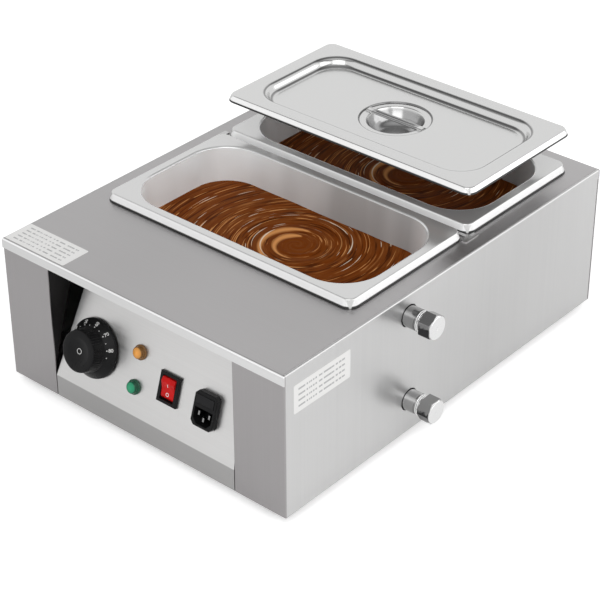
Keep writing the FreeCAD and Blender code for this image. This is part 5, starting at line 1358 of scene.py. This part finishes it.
class MELTER_OT_finishes(bpy.types.Operator):
    """Brushed steel, the gussets' dark tone painted as a dark reflection, plastics, rubber and metals for
    the other pieces
    """
    bl_idname = "melter.finishes"
    bl_label = "Finishes"

    def execute(self, context):
        paint = colours()
        cross = (300, 300, 2)
        finishes = {
            # Deck: below the level, the lip's painted light; on the fold, a painted white highlight.
            brushed("deck_steel", paint.deck, (2, 300, 300), 0.34, paint.lip_painted_light, "Z", DECK - 0.0018,
                    DECK - 0.0001): ["top_deck"],
            # Sides: in front of the level, the cheeks' painted shade.
            brushed("side_steel", paint.side, cross, 0.34, paint.cheek_painted_shade, "Y", DECK_LOW.y + 0.0022): [
                "left_side_panel", "right_side_panel"],
            # Panel: below the fold line, the band's painted shade.
            brushed("panel_steel", paint.panel, (2, 300, 300), 0.34, paint.band, "Z", FOLD_LINE.z): [
                "control_panel"],
            brushed("rear_steel", paint.deck, cross): ["rear_panel", "base_plate"],
            brushed("bath_steel", paint.side, cross, 0.3): ["water_bath", "divider_bar"],
            # Gussets: near-black as a painted dark reflection.
            moulded("gusset_paint", paint.paint, 0.45, 900, 0.00004): ["left_gusset", "right_gusset"],
            polished("nipple_chrome", (0.4, 0.4, 0.4), 0.12, 0.6): [
                "overflow_nipple", "drain_nipple", "overflow_locknut", "drain_locknut"],
            polished("screw_steel", paint.chrome, 0.25): [
                "rear_screws", "foot_screws", "foot_nuts", "heater_nuts", "thermostat_nut", "bulb_gland_nut",
                "terminal_screws", "thermostat_shaft"],
            polished("heater_steel", paint.chrome, 0.3): ["heating_element", "heater_glands"],
            polished("contact_brass", paint.brass, 0.25): [
                "heater_blades", "switch_blades", "bulb_gland"],
            polished("tube_copper", paint.copper, 0.25): ["thermostat_capillary"],
            polished("pin_metal", (0.28, 0.28, 0.28), 0.18): ["inlet_pins", "fuse"],
            moulded("fitting_black", paint.black, 0.34, 2200, 0.00003): ["switch_frame", "power_inlet"],
            moulded("drawer_grey", (0.015, 0.015, 0.016), 0.4, 2200, 0.00004): ["fuse_drawer"],
            moulded("thermostat_black", (0.03, 0.028, 0.026), 0.5): ["thermostat_body"],
            moulded("barrel_plastic", (0.5, 0.5, 0.48), 0.45): [
                "orange_lamp_barrel", "green_lamp_barrel", "orange_lamp_clip", "green_lamp_clip",
                "terminal_block"],
            moulded("foot_rubber", paint.rubber, 0.7, 1500, 0.00006): [
                "rubber_feet", "heater_seals", "overflow_seal", "drain_seal", "overflow_cap_washer",
                "drain_cap_washer"],
        }
        for finish, names in finishes.items():
            for name in names:
                data = NODES[name].data
                data.materials.clear()
                data.materials.append(finish)
        return {"FINISHED"}


class MELTER_PT_panel(bpy.types.Panel):
    """Lists the melter's operators, sizes and colours"""
    bl_idname = "MELTER_PT_panel"
    bl_label = "Chocolate melter"
    bl_space_type = "VIEW_3D"
    bl_region_type = "UI"
    bl_category = "Melter"

    def draw(self, context):
        for operator in OPERATORS:
            self.layout.operator(operator.bl_idname)
        for group in (context.scene.melter_sizes, context.scene.melter_colours):
            for name in group.__annotations__:
                self.layout.prop(group, name)


OPERATORS = (
    MELTER_OT_stage,
    MELTER_OT_finishes,
    MELTER_OT_pans,
    MELTER_OT_chocolate,
    MELTER_OT_lid,
    MELTER_OT_knob,
    MELTER_OT_lamps,
    MELTER_OT_rocker,
    MELTER_OT_ports,
    MELTER_OT_labels,
)
CLASSES = (MelterSizes, MelterColours, *OPERATORS, MELTER_PT_panel)


def register():
    for kind in CLASSES:
        bpy.utils.register_class(kind)
    bpy.types.Scene.melter_sizes = PointerProperty(type=MelterSizes)
    bpy.types.Scene.melter_colours = PointerProperty(type=MelterColours)


def unregister():
    del bpy.types.Scene.melter_colours
    del bpy.types.Scene.melter_sizes
    for kind in reversed(CLASSES):
        bpy.utils.unregister_class(kind)


def main():
    register()
    for operator in OPERATORS:
        group, name = operator.bl_idname.split(".")
        getattr(getattr(bpy.ops, group), name)()


if __name__ == "__main__":
    main()
